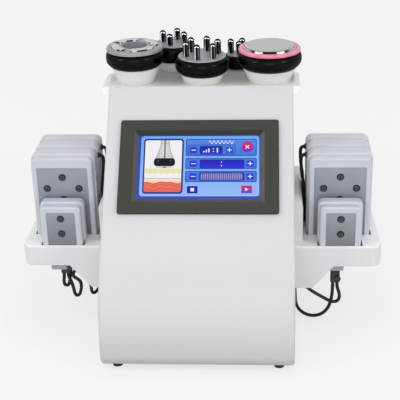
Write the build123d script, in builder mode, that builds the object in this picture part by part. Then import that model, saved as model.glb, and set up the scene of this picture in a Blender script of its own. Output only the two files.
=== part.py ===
import os
from math import atan2, cos, degrees, pi, radians, sin, tan

from build123d import *

# Desk-top cavitation slimming machine, in millimetres.
# X runs to the right as a person at the screen sees it, Y runs to the rear and Z runs up.
# The origin is on the desk, under the middle of the cabinet's width and depth.

# Cabinet
cabinet_width = 240.0
cabinet_depth = 361.0
cabinet_height = 288.0
wall = 3.0
seam = 0.2
toe_radius = 18.0
sweep_radius = 160.0
face_angle = 45.0
side_edge_radius = 3.5
flange_run = 32.0
base_thickness = 5.5
overrun = 5.0

# Rubber feet
foot_height = 5.0
foot_radius = 6.5
foot_flare = 1.5
foot_side_inset = 19.0
foot_front_inset = 20.1
foot_rear_inset = 32.0
foot_plug_radius = 3.5
foot_plug_play = 0.1

# Screen
bezel_width = 202.0
bezel_height = 127.2
bezel_drop = 38.1
bezel_proud = 4.5
bezel_corner = 3.0
bezel_edge = 0.8
glass_width = 166.0
glass_height = 98.0
bevel_width = 5.5
glass_play = 0.5
module_border = 4.0
module_depth = 8.0

# Top tray
tray_width = 257.5
ear_depth = 66.0
ear_corner = 11.0
ear_round = 2.5
tray_lip = 8.0
tray_side_gap = 1.5
tray_rear_corner = 8.0
dish_margin = 6.0
dish_depth = 5.0
dish_taper = 30.0
dish_corner = 20.0
collar_wall = 2.2
collar_length = 14.0
cup_play = 0.4

# Handpieces
side_head_x = 89.5
four_rod_x = 42.2
three_rod_x = 45.4
head_row_inset = 256.6
rear_row_inset = 312.5
ring_height = 22.0
three_rod_ring_height = 18.0
ring_play = 0.1
ring_seat = 6.0
ring_low_share = 0.27
ring_top_share = 0.2
vacuum_ring_radius = 38.8
six_rod_ring_radius = 36.0
cavitation_ring_radius = 42.5
four_rod_ring_radius = 30.0
three_rod_ring_radius = 18.8
vacuum_cone_radius = 24.5
six_rod_cone_radius = 26.0
cavitation_cone_radius = 28.0
four_rod_cone_radius = 21.0
three_rod_cone_radius = 15.2
vacuum_stand = 21.3
six_rod_stand = 10.9
cavitation_stand = 18.2
four_rod_stand = 12.8
three_rod_stand = 0.5
cone_top_share = 0.84
head_shoulder = 0.8
neck_drop = 12.0
grip_radius = 14.0
grip_end_radius = 10.5
grip_length = 88.0
grip_end_length = 26.0
boot_radius = 4.5
boot_length = 9.0
boot_bore = 2.6

# Handpiece faces
vacuum_face_radius = 37.5
vacuum_face_height = 5.0
vacuum_cup_radius = 16.5
vacuum_cup_depth = 12.0
vacuum_liner = 2.0
electrode_inner = 19.0
electrode_outer = 26.0
electrode_height = 1.2
electrode_sweep = 58.0
electrode_count = 4
plate_rise = 1.4
plate_setback = 4.2
plate_round = 1.0
rod_radius = 4.4
six_rod_height = 20.3
four_rod_height = 16.2
three_rod_height = 20.0
six_rod_count = 6
four_rod_count = 4
three_rod_count = 3
six_rod_start_angle = 15.5
four_rod_start_angle = 75.0
three_rod_start_angle = 45.7
six_rod_circle = 21.6
four_rod_circle = 15.4
three_rod_circle = 9.4
light_ring_setback = 0.8
light_ring_height = 4.5
light_ring_round = 2.2
disc_radius = 35.0
disc_height = 6.0
disc_round = 1.6

# Wings
wing_reach = 113.0
wing_taper = 4.0
wing_front_inset = 115.1
wing_depth = 150.0
shelf_height = 112.0
apron_height = 28.0
gusset_drop = 32.0
gusset_foot = 25.0
gusset_run = 27.0
wing_wall = 3.0
wing_corner = 14.0
wing_edge = 2.5
upstand_width = 12.0
upstand_height = 50.0
upstand_setback = 20.0
upstand_round = 4.0
pocket_floor = 3.0
pocket_play = 0.4

# Laser pads
large_pad_width = 84.0
large_pad_height = 132.0
small_pad_width = 57.0
small_pad_height = 78.0
pad_sink = 22.0
rear_shell_depth = 15.0
front_shell_depth = 12.0
shell_step = 2.2
pad_corner = 9.0
small_pad_corner = 7.0
pad_edge = 2.5
pad_pitch = 29.0
pad_reach = 59.5
large_pad_setback = 36.0
small_pad_setback = 3.5
large_window_width = 66.6
large_window_drop = 15.1
small_window_width = 37.6
small_window_drop = 9.8
window_foot = 6.0
window_recess = 1.2
window_proud = 0.2
window_play = 0.1
window_corner = 1.5
diode_radius = 4.2
diode_height = 0.7
diode_reach = 21.0
diode_rise = 15.6
diode_drop = 44.0
small_diode_drop = 18.7
small_diode_pitch = 21.0

# Rear panel fittings
fan_size = 80.0
fan_depth = 25.0
fan_bore = 37.5
fan_corner = 5.0
fan_x = -52.0
fan_drop = 17.0
fan_hub_radius = 16.0
fan_tip_gap = 1.5
fan_blades = 7
fan_blade_width = 15.0
fan_blade_thickness = 1.8
fan_blade_pitch = 38.0
fan_gap = 1.0
fan_spoke_width = 5.0
fan_spoke_depth = 4.0
fan_shaft_radius = 2.5
fan_shaft_play = 0.06
vent_slot_width = 4.0
vent_slot_pitch = 8.0
inlet_x = 28.0
inlet_height = 70.0
inlet_width = 50.0
inlet_plate_height = 58.0
inlet_plate = 2.5
inlet_corner = 3.0
inlet_body_depth = 28.0
inlet_border = 5.0
plug_well_width = 25.0
plug_well_height = 17.5
plug_well_depth = 16.0
plug_well_rise = 12.5
plug_pin_width = 4.0
plug_pin_thickness = 2.0
plug_pin_length = 9.0
plug_pin_pitch = 7.0
plug_pin_offset = 2.0
rocker_width = 20.0
rocker_height = 13.0
rocker_drop = 15.5
rocker_depth = 9.0
rocker_play = 0.5
rocker_tilt = 7.0
rocker_pin_radius = 1.5
rocker_pin_play = 0.06
socket_count = 5
socket_pitch = 34.0
socket_drop = 50.0
socket_radius = 8.0
socket_flange = 11.0
socket_plate = 2.0
socket_body = 18.0
socket_recess = 1.5
socket_play = 0.2
gland_inset = 36.0
gland_height = 48.0
gland_radius = 6.0
gland_length = 10.0
gland_flange = 8.5
gland_plate = 2.0

# Inside parts
board_width = 130.0
board_depth = 84.0
board_thickness = 1.6
board_x = 34.0
board_inset = 112.0
standoff_height = 8.0
standoff_radius = 3.0
standoff_margin = 5.0
heat_sink_width = 46.0
heat_sink_depth = 30.0
heat_sink_height = 22.0
heat_sink_fin = 2.0
heat_sink_pitch = 6.0
chip_size = 14.0
chip_height = 2.2
header_width = 34.0
header_depth = 8.0
header_height = 11.0
supply_width = 98.0
supply_depth = 129.0
supply_height = 38.0
supply_x = 52.0
supply_rear_gap = 45.0
supply_slot_pitch = 12.0
supply_slot_width = 4.0
supply_vent_depth = 3.0
core_width = 66.0
core_depth = 34.0
core_height = 56.0
coil_depth = 54.0
coil_width = 40.0
coil_height = 38.0
core_foot = 9.0
core_foot_height = 3.0
core_x = -70.0
core_rear_gap = 88.5
pump_radius = 18.0
pump_length = 62.0
pump_head_width = 42.0
pump_head_length = 30.0
pump_head_height = 46.0
pump_nipple_radius = 3.0
pump_nipple_length = 12.0
pump_foot_height = 4.0
pump_foot_width = 50.0
pump_x = -72.0
pump_inset = 130.0

# Screws
screw_radius = 1.6
screw_head_radius = 3.2
screw_head_height = 1.8
screw_length = 9.0
screw_margin = 9.0
screw_play = 0.2

# Leads
lead_radius = 2.25
clip_reach = 54.5
left_tab_reach = 67.0
left_block_reach = 59.1
left_block_height = 6.0
clip_tab_width = 21.0
clip_tab_depth = 12.0
clip_tab_height = 8.0
clip_block_width = 12.0
clip_block_depth = 9.0
clip_block_height = 18.0
clip_knob_radius = 4.0
clip_knob_proud = 2.5
pad_lead_drop = 14.0
pad_lead_reach = 14.75

# Places that several pieces share
front_y = -cabinet_depth / 2
rear_y = cabinet_depth / 2
panel_y = rear_y - inlet_plate
base_z = foot_height
floor_z = base_z + base_thickness
top_z = base_z + cabinet_height
side_x = cabinet_width / 2
turn = 90 - face_angle
sweep_end_y = front_y + sweep_radius * (1 - cos(radians(turn)))
sweep_end_z = base_z + toe_radius + sweep_radius * sin(radians(turn))
brow_y = sweep_end_y + (top_z - sweep_end_z) / tan(radians(face_angle))
tray_z = top_z + tray_lip
tray_floor_z = tray_z - dish_depth
pad_x = side_x + pad_reach
clip_x = side_x + clip_reach
pad_lead_x = side_x + pad_lead_reach
gland_x = side_x - gland_inset
foot_spread = cabinet_width - 2 * foot_side_inset
socket_z = top_z - socket_drop
fan_z = socket_z - socket_flange - fan_drop - fan_size / 2
cup_limit = side_x - wall - side_head_x - collar_wall - cup_play


def cabinet_profile(inset, setback, high, back):
    """Side outline of the cabinet: the front curve drawn in by inset and moved back by setback."""
    with BuildSketch(Plane.YZ) as profile:
        with BuildLine():
            toe = JernArc(
                (front_y + setback + toe_radius, base_z + inset), (-1, 0), toe_radius - inset, -90
            )
            sweep = JernArc(toe @ 1, toe % 1, sweep_radius - inset, -turn)
            brow = (sweep @ 1).X + (high - (sweep @ 1).Y) / tan(radians(face_angle))
            Polyline(sweep @ 1, (brow, high), (back, high), (back, base_z + inset), toe @ 0)
        make_face()
    return profile.sketch


def on_front_curve(edge):
    """True for the edges that follow the front curve, and not for level or upright ones."""
    way = edge.tangent_at(0.5)
    return abs(way.Y) > 0.01 and abs(way.Z) > 0.01


def save(piece, name):
    """Label a finished piece and write it to its own file."""
    piece.part.label = name
    export_step(piece.part, f"parts/{name}.step")


os.makedirs("parts", exist_ok=True)

outer_profile = cabinet_profile(0, 0, top_z, panel_y - wall - seam)
inner_profile = cabinet_profile(wall, 0, top_z + overrun, rear_y)
behind_flange = cabinet_profile(0, flange_run, top_z + overrun, rear_y + overrun)
panel_profile = cabinet_profile(0, flange_run + seam, top_z, panel_y - wall - seam)

# The sloping face: local X to the right, local Y up the slope, local Z out of the face
slope_up = Vector(0, cos(radians(face_angle)), sin(radians(face_angle)))
slope_out = Vector(0, -sin(radians(face_angle)), cos(radians(face_angle)))
bezel_middle = Vector(0, brow_y, top_z) - slope_up * (bezel_drop + bezel_height / 2)
face_plane = Plane(origin=bezel_middle, x_dir=(1, 0, 0), z_dir=slope_out)

# Cabinet outside and the space in it, each with its front edges rounded
with BuildPart() as cabinet_body:
    extrude(outer_profile, side_x, both=True)
    sides = faces().filter_by(Axis.X)
    fillet(sides.edges().filter_by(on_front_curve), side_edge_radius)

with BuildPart() as cabinet_space:
    extrude(inner_profile, side_x - wall, both=True)
    sides = faces().filter_by(Axis.X)
    fillet(sides.edges().filter_by(on_front_curve), side_edge_radius - wall)

# Base plate, the lowest slice of the cabinet
foot_places = [
    (x, y)
    for x in (-foot_spread / 2, foot_spread / 2)
    for y in (front_y + foot_front_inset, panel_y - foot_rear_inset)
]
with BuildPart() as base_plate:
    add(cabinet_body.part)
    with Locations((0, 0, base_z)):
        Box(
            cabinet_width,
            2 * cabinet_depth,
            base_thickness,
            align=(Align.CENTER, Align.CENTER, Align.MIN),
            mode=Mode.INTERSECT,
        )
    with BuildSketch(Plane.XY.offset(base_z)):
        with Locations(*foot_places):
            Circle(foot_plug_radius)
    extrude(amount=base_thickness, mode=Mode.SUBTRACT)
    with BuildSketch(Plane.XY.offset(base_z)):
        with Locations((0, front_y + pump_inset)):
            with GridLocations(0, 2 * vent_slot_pitch, 1, 4):
                SlotOverall(cabinet_width / 3, 1.5 * vent_slot_width)
    extrude(amount=base_thickness, mode=Mode.SUBTRACT)
save(base_plate, "base_plate")

# Feet with plugs pushed into the base plate
with BuildPart() as feet:
    with BuildSketch():
        with Locations(*foot_places):
            Circle(foot_radius)
    extrude(amount=foot_height, taper=degrees(atan2(foot_flare, foot_height)))
    with BuildSketch(Plane.XY.offset(foot_height)):
        with Locations(*foot_places):
            Circle(foot_plug_radius - foot_plug_play)
    extrude(amount=base_thickness)
save(feet, "feet")

# Front cover: the curved face with its returned sides, and the hole for the screen
with BuildPart() as front_cover:
    add(cabinet_body.part)
    add(cabinet_space.part, mode=Mode.SUBTRACT)
    extrude(behind_flange, side_x + overrun, both=True, mode=Mode.SUBTRACT)
    with Locations((0, 0, floor_z + seam)):
        Box(
            cabinet_width + overrun,
            2 * cabinet_depth,
            cabinet_height + overrun,
            align=(Align.CENTER, Align.CENTER, Align.MIN),
            mode=Mode.INTERSECT,
        )
    with BuildSketch(face_plane.offset(-wall - overrun)):
        Rectangle(glass_width + 2 * glass_play, glass_height + 2 * glass_play)
    extrude(amount=wall + 2 * overrun, mode=Mode.SUBTRACT)
save(front_cover, "front_cover")

# Side panels with a row of louvres at the rear
louvre_y = panel_y - 2 * foot_rear_inset
for side, name in ((-1, "left_side_panel"), (1, "right_side_panel")):
    with BuildPart() as side_panel:
        extrude(panel_profile, side_x, both=True)
        with Locations((side * (side_x - wall / 2), 0, floor_z + seam)):
            Box(
                wall,
                2 * cabinet_depth,
                cabinet_height + overrun,
                align=(Align.CENTER, Align.CENTER, Align.MIN),
                mode=Mode.INTERSECT,
            )
        with BuildSketch(Plane.YZ):
            with Locations((louvre_y, fan_z)):
                with GridLocations(0, 1.5 * vent_slot_pitch, 1, 6):
                    SlotOverall(fan_size / 2, vent_slot_width)
        extrude(amount=side * (side_x + overrun), mode=Mode.SUBTRACT)
    save(side_panel, name)

# Rear panel with its vent, plug inlet, sockets, lead glands and screw holes
socket_places = [
    ((place - (socket_count - 1) / 2) * socket_pitch, socket_z)
    for place in range(socket_count)
]
gland_places = [(x, base_z + gland_height) for x in (-gland_x, gland_x)]
screw_places = [
    (x, z)
    for x in (-side_x + screw_margin, side_x - screw_margin)
    for z in (floor_z + 2 * screw_margin, base_z + cabinet_height / 2, top_z - 2 * screw_margin)
]
rear_plane = Plane(origin=(0, panel_y, 0), x_dir=(1, 0, 0), z_dir=(0, -1, 0))
with BuildPart() as rear_panel:
    with BuildSketch(rear_plane):
        with Locations((0, (floor_z + seam + top_z) / 2)):
            Rectangle(cabinet_width, top_z - floor_z - seam)
    extrude(amount=wall)
    with BuildSketch(rear_plane):
        with Locations(*socket_places):
            Circle(socket_radius + socket_play)
        with Locations(*gland_places):
            Circle(gland_radius + socket_play)
        with Locations(*screw_places):
            Circle(screw_radius + screw_play)
        with Locations((inlet_x, base_z + inlet_height)):
            Rectangle(inlet_width - inlet_border, inlet_plate_height - inlet_border)
    extrude(amount=wall, mode=Mode.SUBTRACT)
    with BuildSketch(rear_plane) as vent:
        with Locations((fan_x, fan_z)):
            Circle(fan_bore - vent_slot_width / 2)
            with GridLocations(0, vent_slot_pitch, 1, int(fan_size / vent_slot_pitch) + 1):
                Rectangle(fan_size, vent_slot_pitch - vent_slot_width, mode=Mode.SUBTRACT)
            Rectangle(vent_slot_width, fan_size, mode=Mode.SUBTRACT)
    extrude(amount=wall, mode=Mode.SUBTRACT)
save(rear_panel, "rear_panel")

with BuildPart() as cover_screws:
    with BuildSketch(rear_plane):
        with Locations(*screw_places):
            Circle(screw_head_radius)
    extrude(amount=-screw_head_height)
    with BuildSketch(rear_plane):
        with Locations(*screw_places):
            Circle(screw_radius)
    extrude(amount=screw_length)
    outer_ends = faces().filter_by(Axis.Y).sort_by(Axis.Y)[-len(screw_places) :]
    fillet(outer_ends.edges(), screw_head_height / 3)
save(cover_screws, "cover_screws")

# Top tray: ears at the front, a dished floor and one collared cup for each handpiece
front_row_y = front_y + head_row_inset
rear_row_y = front_y + rear_row_inset
head_places = {
    "vacuum": (-side_head_x, front_row_y),
    "six_rod": (0, front_row_y),
    "cavitation": (side_head_x, front_row_y),
    "four_rod": (-four_rod_x, rear_row_y),
    "three_rod": (three_rod_x, rear_row_y),
}
head_sizes = {
    "vacuum": (vacuum_ring_radius, vacuum_cone_radius, vacuum_stand, ring_height),
    "six_rod": (six_rod_ring_radius, six_rod_cone_radius, six_rod_stand, ring_height),
    "cavitation": (cavitation_ring_radius, cavitation_cone_radius, cavitation_stand, ring_height),
    "four_rod": (four_rod_ring_radius, four_rod_cone_radius, four_rod_stand, ring_height),
    "three_rod": (three_rod_ring_radius, three_rod_cone_radius, three_rod_stand, three_rod_ring_height),
}
neck_sizes = {
    head: min(cone_radius - head_shoulder, cup_limit)
    for head, (ring_radius, cone_radius, stand, height) in head_sizes.items()
}
tray_front_y = brow_y + seam / tan(radians(face_angle))
tray_rear_y = panel_y
rear_part_width = cabinet_width - 2 * tray_side_gap
with BuildPart() as top_tray:
    with BuildSketch(Plane.XY.offset(top_z + seam)):
        with Locations((0, tray_front_y + ear_depth / 2)):
            RectangleRounded(tray_width, ear_depth + tray_lip, ear_corner)
        with Locations((0, tray_rear_y)):
            RectangleRounded(
                rear_part_width,
                tray_rear_y - tray_front_y - ear_depth / 2,
                tray_rear_corner,
                align=(Align.CENTER, Align.MAX),
            )
    extrude(amount=tray_lip - seam)
    low_rim = faces().sort_by(Axis.Z)[0].edges().filter_by(lambda e: abs(e.center().X) > side_x)
    fillet(low_rim, ear_round)
    top_rim = faces().sort_by(Axis.Z)[-1]
    fillet(top_rim.edges(), seam)
    with BuildSketch(Plane.YZ):
        with BuildLine():
            Polyline(
                (tray_front_y - seam / tan(radians(face_angle)), top_z),
                (tray_front_y + 2 * tray_lip / tan(radians(face_angle)), tray_z + tray_lip),
                (front_y, tray_z + tray_lip),
                (front_y, top_z),
                close=True,
            )
        make_face()
    extrude(amount=tray_width, both=True, mode=Mode.SUBTRACT)
    dish_front_y = tray_front_y + tray_lip / tan(radians(face_angle)) + dish_margin / 2
    dish_length = tray_rear_y - dish_margin - dish_front_y
    with BuildSketch(Plane.XY.offset(tray_z)):
        with Locations((0, dish_front_y + dish_length / 2)):
            RectangleRounded(cabinet_width, dish_length, dish_corner)
            ear_dish = tray_width - 2 * dish_margin
        with Locations((0, dish_front_y)):
            RectangleRounded(
                ear_dish, ear_depth - 2 * dish_margin, ear_corner, align=(Align.CENTER, Align.MIN)
            )
    extrude(amount=-dish_depth, taper=dish_taper, mode=Mode.SUBTRACT)
    for head, (across, row) in head_places.items():
        with BuildSketch(Plane.XY.offset(top_z + seam)):
            with Locations((across, row)):
                Circle(neck_sizes[head] + cup_play + collar_wall)
        extrude(amount=-collar_length)
    for head, (across, row) in head_places.items():
        with BuildSketch(Plane.XY.offset(tray_floor_z)):
            with Locations((across, row)):
                Circle(neck_sizes[head] + cup_play)
        extrude(amount=top_z - collar_length - tray_z, mode=Mode.SUBTRACT)
save(top_tray, "top_tray")

# Handpiece shells, turned: boot, grip, neck, flared cone and the core that carries the ring
ring_tops = {}
for head, (ring_radius, cone_radius, stand, height) in head_sizes.items():
    ring_bottom = tray_floor_z + stand
    ring_top = ring_bottom + height
    low_round = ring_low_share * ring_radius
    top_round = ring_top_share * ring_radius
    core_radius = cone_top_share * ring_radius - ring_seat
    neck_z = tray_floor_z - neck_drop
    grip_z = neck_z - grip_length
    ring_tops[head] = ring_top
    with BuildPart() as shell:
        with BuildSketch(Plane.XZ):
            with BuildLine():
                Polyline(
                    (0, grip_z),
                    (boot_bore, grip_z),
                    (boot_bore, grip_z - boot_length),
                    (boot_radius, grip_z - boot_length),
                    (boot_radius + foot_flare, grip_z),
                    (grip_end_radius, grip_z),
                    (grip_radius, grip_z + grip_end_length),
                    (grip_radius, neck_z),
                    (neck_sizes[head], tray_floor_z),
                    (cone_radius, tray_floor_z),
                    (cone_top_share * ring_radius, ring_bottom),
                    (core_radius, ring_bottom),
                    (core_radius, ring_top),
                    (0, ring_top),
                    close=True,
                )
            make_face()
        revolve(axis=Axis.Z)
        if head == "vacuum":
            with BuildSketch(Plane.XY.offset(ring_top)):
                Circle(vacuum_cup_radius + vacuum_liner + cup_play)
            extrude(amount=-vacuum_cup_depth, mode=Mode.SUBTRACT)
    shell.part = shell.part.moved(Location((*head_places[head], 0)))
    save(shell, f"{head}_head_shell")

    # Rubber ring, rounded more at its lower edge
    with BuildPart() as ring:
        with BuildSketch(Plane.XZ):
            with BuildLine():
                inner = core_radius + ring_play
                low = RadiusArc(
                    (ring_radius - low_round, ring_bottom),
                    (ring_radius, ring_bottom + low_round),
                    -low_round,
                )
                high = RadiusArc(
                    (ring_radius, ring_top - top_round),
                    (ring_radius - top_round, ring_top),
                    -top_round,
                )
                Line(low @ 1, high @ 0)
                Polyline(high @ 1, (inner, ring_top), (inner, ring_bottom), low @ 0)
            make_face()
        revolve(axis=Axis.Z)
    ring.part = ring.part.moved(Location((*head_places[head], 0)))
    save(ring, f"{head}_head_ring")

# Vacuum head face: a rounded collar round a cup that goes down into the core
vacuum_top = ring_tops["vacuum"]
vacuum_place = Location((*head_places["vacuum"], 0))
cup_bottom = vacuum_top - vacuum_cup_depth + vacuum_liner
with BuildPart() as vacuum_face:
    with BuildSketch(Plane.XZ):
        with BuildLine():
            liner = vacuum_cup_radius + vacuum_liner
            Polyline(
                (0, vacuum_top - vacuum_cup_depth),
                (liner, vacuum_top - vacuum_cup_depth),
                (liner, vacuum_top),
                (vacuum_face_radius, vacuum_top),
                (vacuum_face_radius, vacuum_top + vacuum_face_height),
                (vacuum_cup_radius, vacuum_top + vacuum_face_height),
                (vacuum_cup_radius - vacuum_liner, cup_bottom),
                (0, cup_bottom),
                close=True,
            )
        make_face()
    revolve(axis=Axis.Z)
    rim = edges().filter_by(GeomType.CIRCLE).group_by(Axis.Z)[-1].sort_by(SortBy.RADIUS)[-1]
    fillet(rim, vacuum_face_height / 2)
vacuum_face.part = vacuum_face.part.moved(vacuum_place)
save(vacuum_face, "vacuum_head_face")

with BuildPart() as electrodes:
    with BuildSketch(Plane.XY.offset(vacuum_top + vacuum_face_height)):
        for number in range(electrode_count):
            start = number * 360 / electrode_count - electrode_sweep / 2
            with BuildLine():
                outside = CenterArc((0, 0), electrode_outer, start, electrode_sweep)
                inside = CenterArc((0, 0), electrode_inner, start, electrode_sweep)
                Line(outside @ 0, inside @ 0)
                Line(outside @ 1, inside @ 1)
            make_face()
    extrude(amount=electrode_height)
    tops = faces().filter_by(Axis.Z).group_by(Axis.Z)[-1]
    fillet(tops.edges(), electrode_height / 2)
electrodes.part = electrodes.part.moved(vacuum_place)
save(electrodes, "vacuum_head_electrodes")

# Rod heads: a shallow plate with domed rods on a circle
rod_heads = {
    "six_rod": (six_rod_count, six_rod_circle, six_rod_start_angle, six_rod_height),
    "four_rod": (four_rod_count, four_rod_circle, four_rod_start_angle, four_rod_height),
    "three_rod": (three_rod_count, three_rod_circle, three_rod_start_angle, three_rod_height),
}
for head, (rod_count, rod_circle, first_angle, rod_height) in rod_heads.items():
    ring_radius = head_sizes[head][0]
    with BuildPart() as rods:
        with BuildSketch(Plane.XY.offset(ring_tops[head])):
            Circle(ring_radius - plate_setback)
        extrude(amount=plate_rise)
        fillet(faces().sort_by(Axis.Z)[-1].edges(), plate_round)
        with BuildSketch(Plane.XY.offset(ring_tops[head])):
            with PolarLocations(rod_circle, rod_count, first_angle):
                Circle(rod_radius)
        extrude(amount=plate_rise + rod_height - rod_radius)
        with Locations((0, 0, ring_tops[head] + plate_rise + rod_height - rod_radius)):
            with PolarLocations(rod_circle, rod_count, first_angle):
                Sphere(rod_radius)
    rods.part = rods.part.moved(Location((*head_places[head], 0)))
    save(rods, f"{head}_head_rods")

# Cavitation head: light ring round a metal disc
cavitation_top = ring_tops["cavitation"]
cavitation_place = Location((*head_places["cavitation"], 0))
with BuildPart() as light_ring:
    with BuildSketch(Plane.XY.offset(cavitation_top)):
        Circle(cavitation_ring_radius - light_ring_setback)
        Circle(disc_radius + window_play, mode=Mode.SUBTRACT)
    extrude(amount=light_ring_height)
    top_edges = faces().sort_by(Axis.Z)[-1].edges()
    fillet(top_edges.sort_by(SortBy.RADIUS)[-1], light_ring_round)
light_ring.part = light_ring.part.moved(cavitation_place)
save(light_ring, "cavitation_head_light_ring")

with BuildPart() as disc:
    with BuildSketch(Plane.XY.offset(cavitation_top)):
        Circle(disc_radius)
    extrude(amount=disc_height)
    fillet(faces().sort_by(Axis.Z)[-1].edges(), disc_round)
disc.part = disc.part.moved(cavitation_place)
save(disc, "cavitation_head_disc")

# Screen bezel with bevelled inner edges, and the display that shows through it
with BuildPart() as screen_bezel:
    with BuildSketch(face_plane):
        RectangleRounded(bezel_width, bezel_height, bezel_corner)
    extrude(amount=bezel_proud)
    fillet(faces().sort_by(Axis((0, 0, 0), slope_out))[-1].edges(), bezel_edge)
    with BuildSketch(face_plane):
        Rectangle(glass_width - 2 * bevel_width, glass_height - 2 * bevel_width)
    with BuildSketch(face_plane.offset(bezel_proud)):
        Rectangle(glass_width, glass_height)
    loft(mode=Mode.SUBTRACT)
save(screen_bezel, "screen_bezel")

with BuildPart() as display_panel:
    with BuildSketch(face_plane):
        Rectangle(glass_width, glass_height)
    extrude(amount=-wall)
    with BuildSketch(face_plane.offset(-wall)):
        Rectangle(glass_width + 2 * module_border, glass_height + 2 * module_border)
    extrude(amount=-module_depth)
save(display_panel, "display_panel")

# Wings: shelf, apron and gusset in one moulding, open below, with pockets for the pads
wing_front_y = front_y + wing_front_inset
wing_rear_y = wing_front_y + wing_depth
shelf_z = base_z + shelf_height
large_pad_depth = rear_shell_depth + front_shell_depth
pocket_z = shelf_z - pad_sink
large_fronts = [wing_front_y + large_pad_setback + number * pad_pitch for number in range(3)]
small_front = wing_front_y + small_pad_setback
pad_pockets = [(front, large_pad_width) for front in large_fronts]
pad_pockets.append((small_front, small_pad_width))
clip_y = wing_front_y + wing_wall + clip_tab_depth / 2
large_pad_top = shelf_z + large_pad_height - pad_sink
lead_rows = [front + large_pad_depth / 2 for front in large_fronts[1:]]


def wing_face(inset):
    """Front outline of the right wing, drawn in by inset at the top, the outside and below."""
    with BuildSketch(Plane.XZ.offset(-wing_front_y)) as face:
        with BuildLine():
            slope = tan(radians(45) - atan2(gusset_drop, gusset_run) / 2) * inset
            Polyline(
                (side_x, shelf_z - inset),
                (side_x + wing_reach - inset, shelf_z - inset),
                (side_x + wing_reach - inset, shelf_z - apron_height),
                (side_x + gusset_foot + gusset_run - slope, shelf_z - apron_height),
                (side_x + gusset_foot - slope, shelf_z - apron_height - gusset_drop),
                (side_x, shelf_z - apron_height - gusset_drop),
                close=True,
            )
        make_face()
    return face.sketch


wing_outside = wing_face(0)
with BuildSketch(Plane.XY) as wing_plan:
    with BuildLine():
        Polyline(
            (side_x, wing_front_y),
            (side_x + wing_reach, wing_front_y),
            (side_x + wing_reach - wing_taper, wing_rear_y),
            (side_x, wing_rear_y),
            close=True,
        )
    make_face()
    fillet(vertices().sort_by(Axis.X)[-2:], wing_corner)
with BuildSketch(Plane.XY) as wing_hollow_plan:
    add(wing_plan.sketch)
    offset(amount=-wing_wall, mode=Mode.REPLACE)

with BuildPart() as wing_solid:
    extrude(wing_outside, -wing_depth)
    extrude(wing_plan.sketch, shelf_z + overrun, mode=Mode.INTERSECT)
    fillet(faces().sort_by(Axis.Z)[-1].edges().filter_by(lambda e: e.center().X > side_x + wall), wing_edge)

with BuildPart() as right_wing:
    add(wing_solid.part)
    with BuildPart(mode=Mode.PRIVATE) as hollow:
        extrude(wing_hollow_plan.sketch, shelf_z - wing_wall)
    add(hollow.part, mode=Mode.SUBTRACT)
    with BuildSketch(Plane.XY.offset(shelf_z - wing_wall)):
        for front, width in pad_pockets:
            with Locations((pad_x, front + large_pad_depth / 2)):
                Rectangle(
                    width + 2 * pocket_play + 2 * pocket_floor,
                    large_pad_depth + 2 * pocket_play + 2 * pocket_floor,
                )
    extrude(amount=wing_wall - pad_sink - pocket_floor)
    with BuildSketch(Plane.XY.offset(pocket_z)):
        for front, width in pad_pockets:
            with Locations((pad_x, front + large_pad_depth / 2)):
                Rectangle(width + 2 * pocket_play, large_pad_depth + 2 * pocket_play)
    extrude(amount=pad_sink, mode=Mode.SUBTRACT)
    with BuildSketch(Plane.XY.offset(shelf_z - wing_wall)):
        with Locations((side_x, (wing_front_y + upstand_setback + wing_rear_y) / 2)):
            Rectangle(
                upstand_width,
                wing_depth - upstand_setback,
                align=(Align.MIN, Align.CENTER),
            )
    extrude(amount=upstand_height + wing_wall)
    fillet(faces().sort_by(Axis.Z)[-1].edges().sort_by(Axis.X)[-1], upstand_round)
    with BuildSketch(Plane.XY.offset(shelf_z)):
        with Locations(*[(pad_lead_x, row) for row in lead_rows]):
            Circle(lead_radius + window_play)
    extrude(amount=-wing_wall / 2, mode=Mode.SUBTRACT)
save(right_wing, "right_wing")

with BuildPart() as left_wing:
    mirror(right_wing.part, about=Plane.YZ)
save(left_wing, "left_wing")

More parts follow.
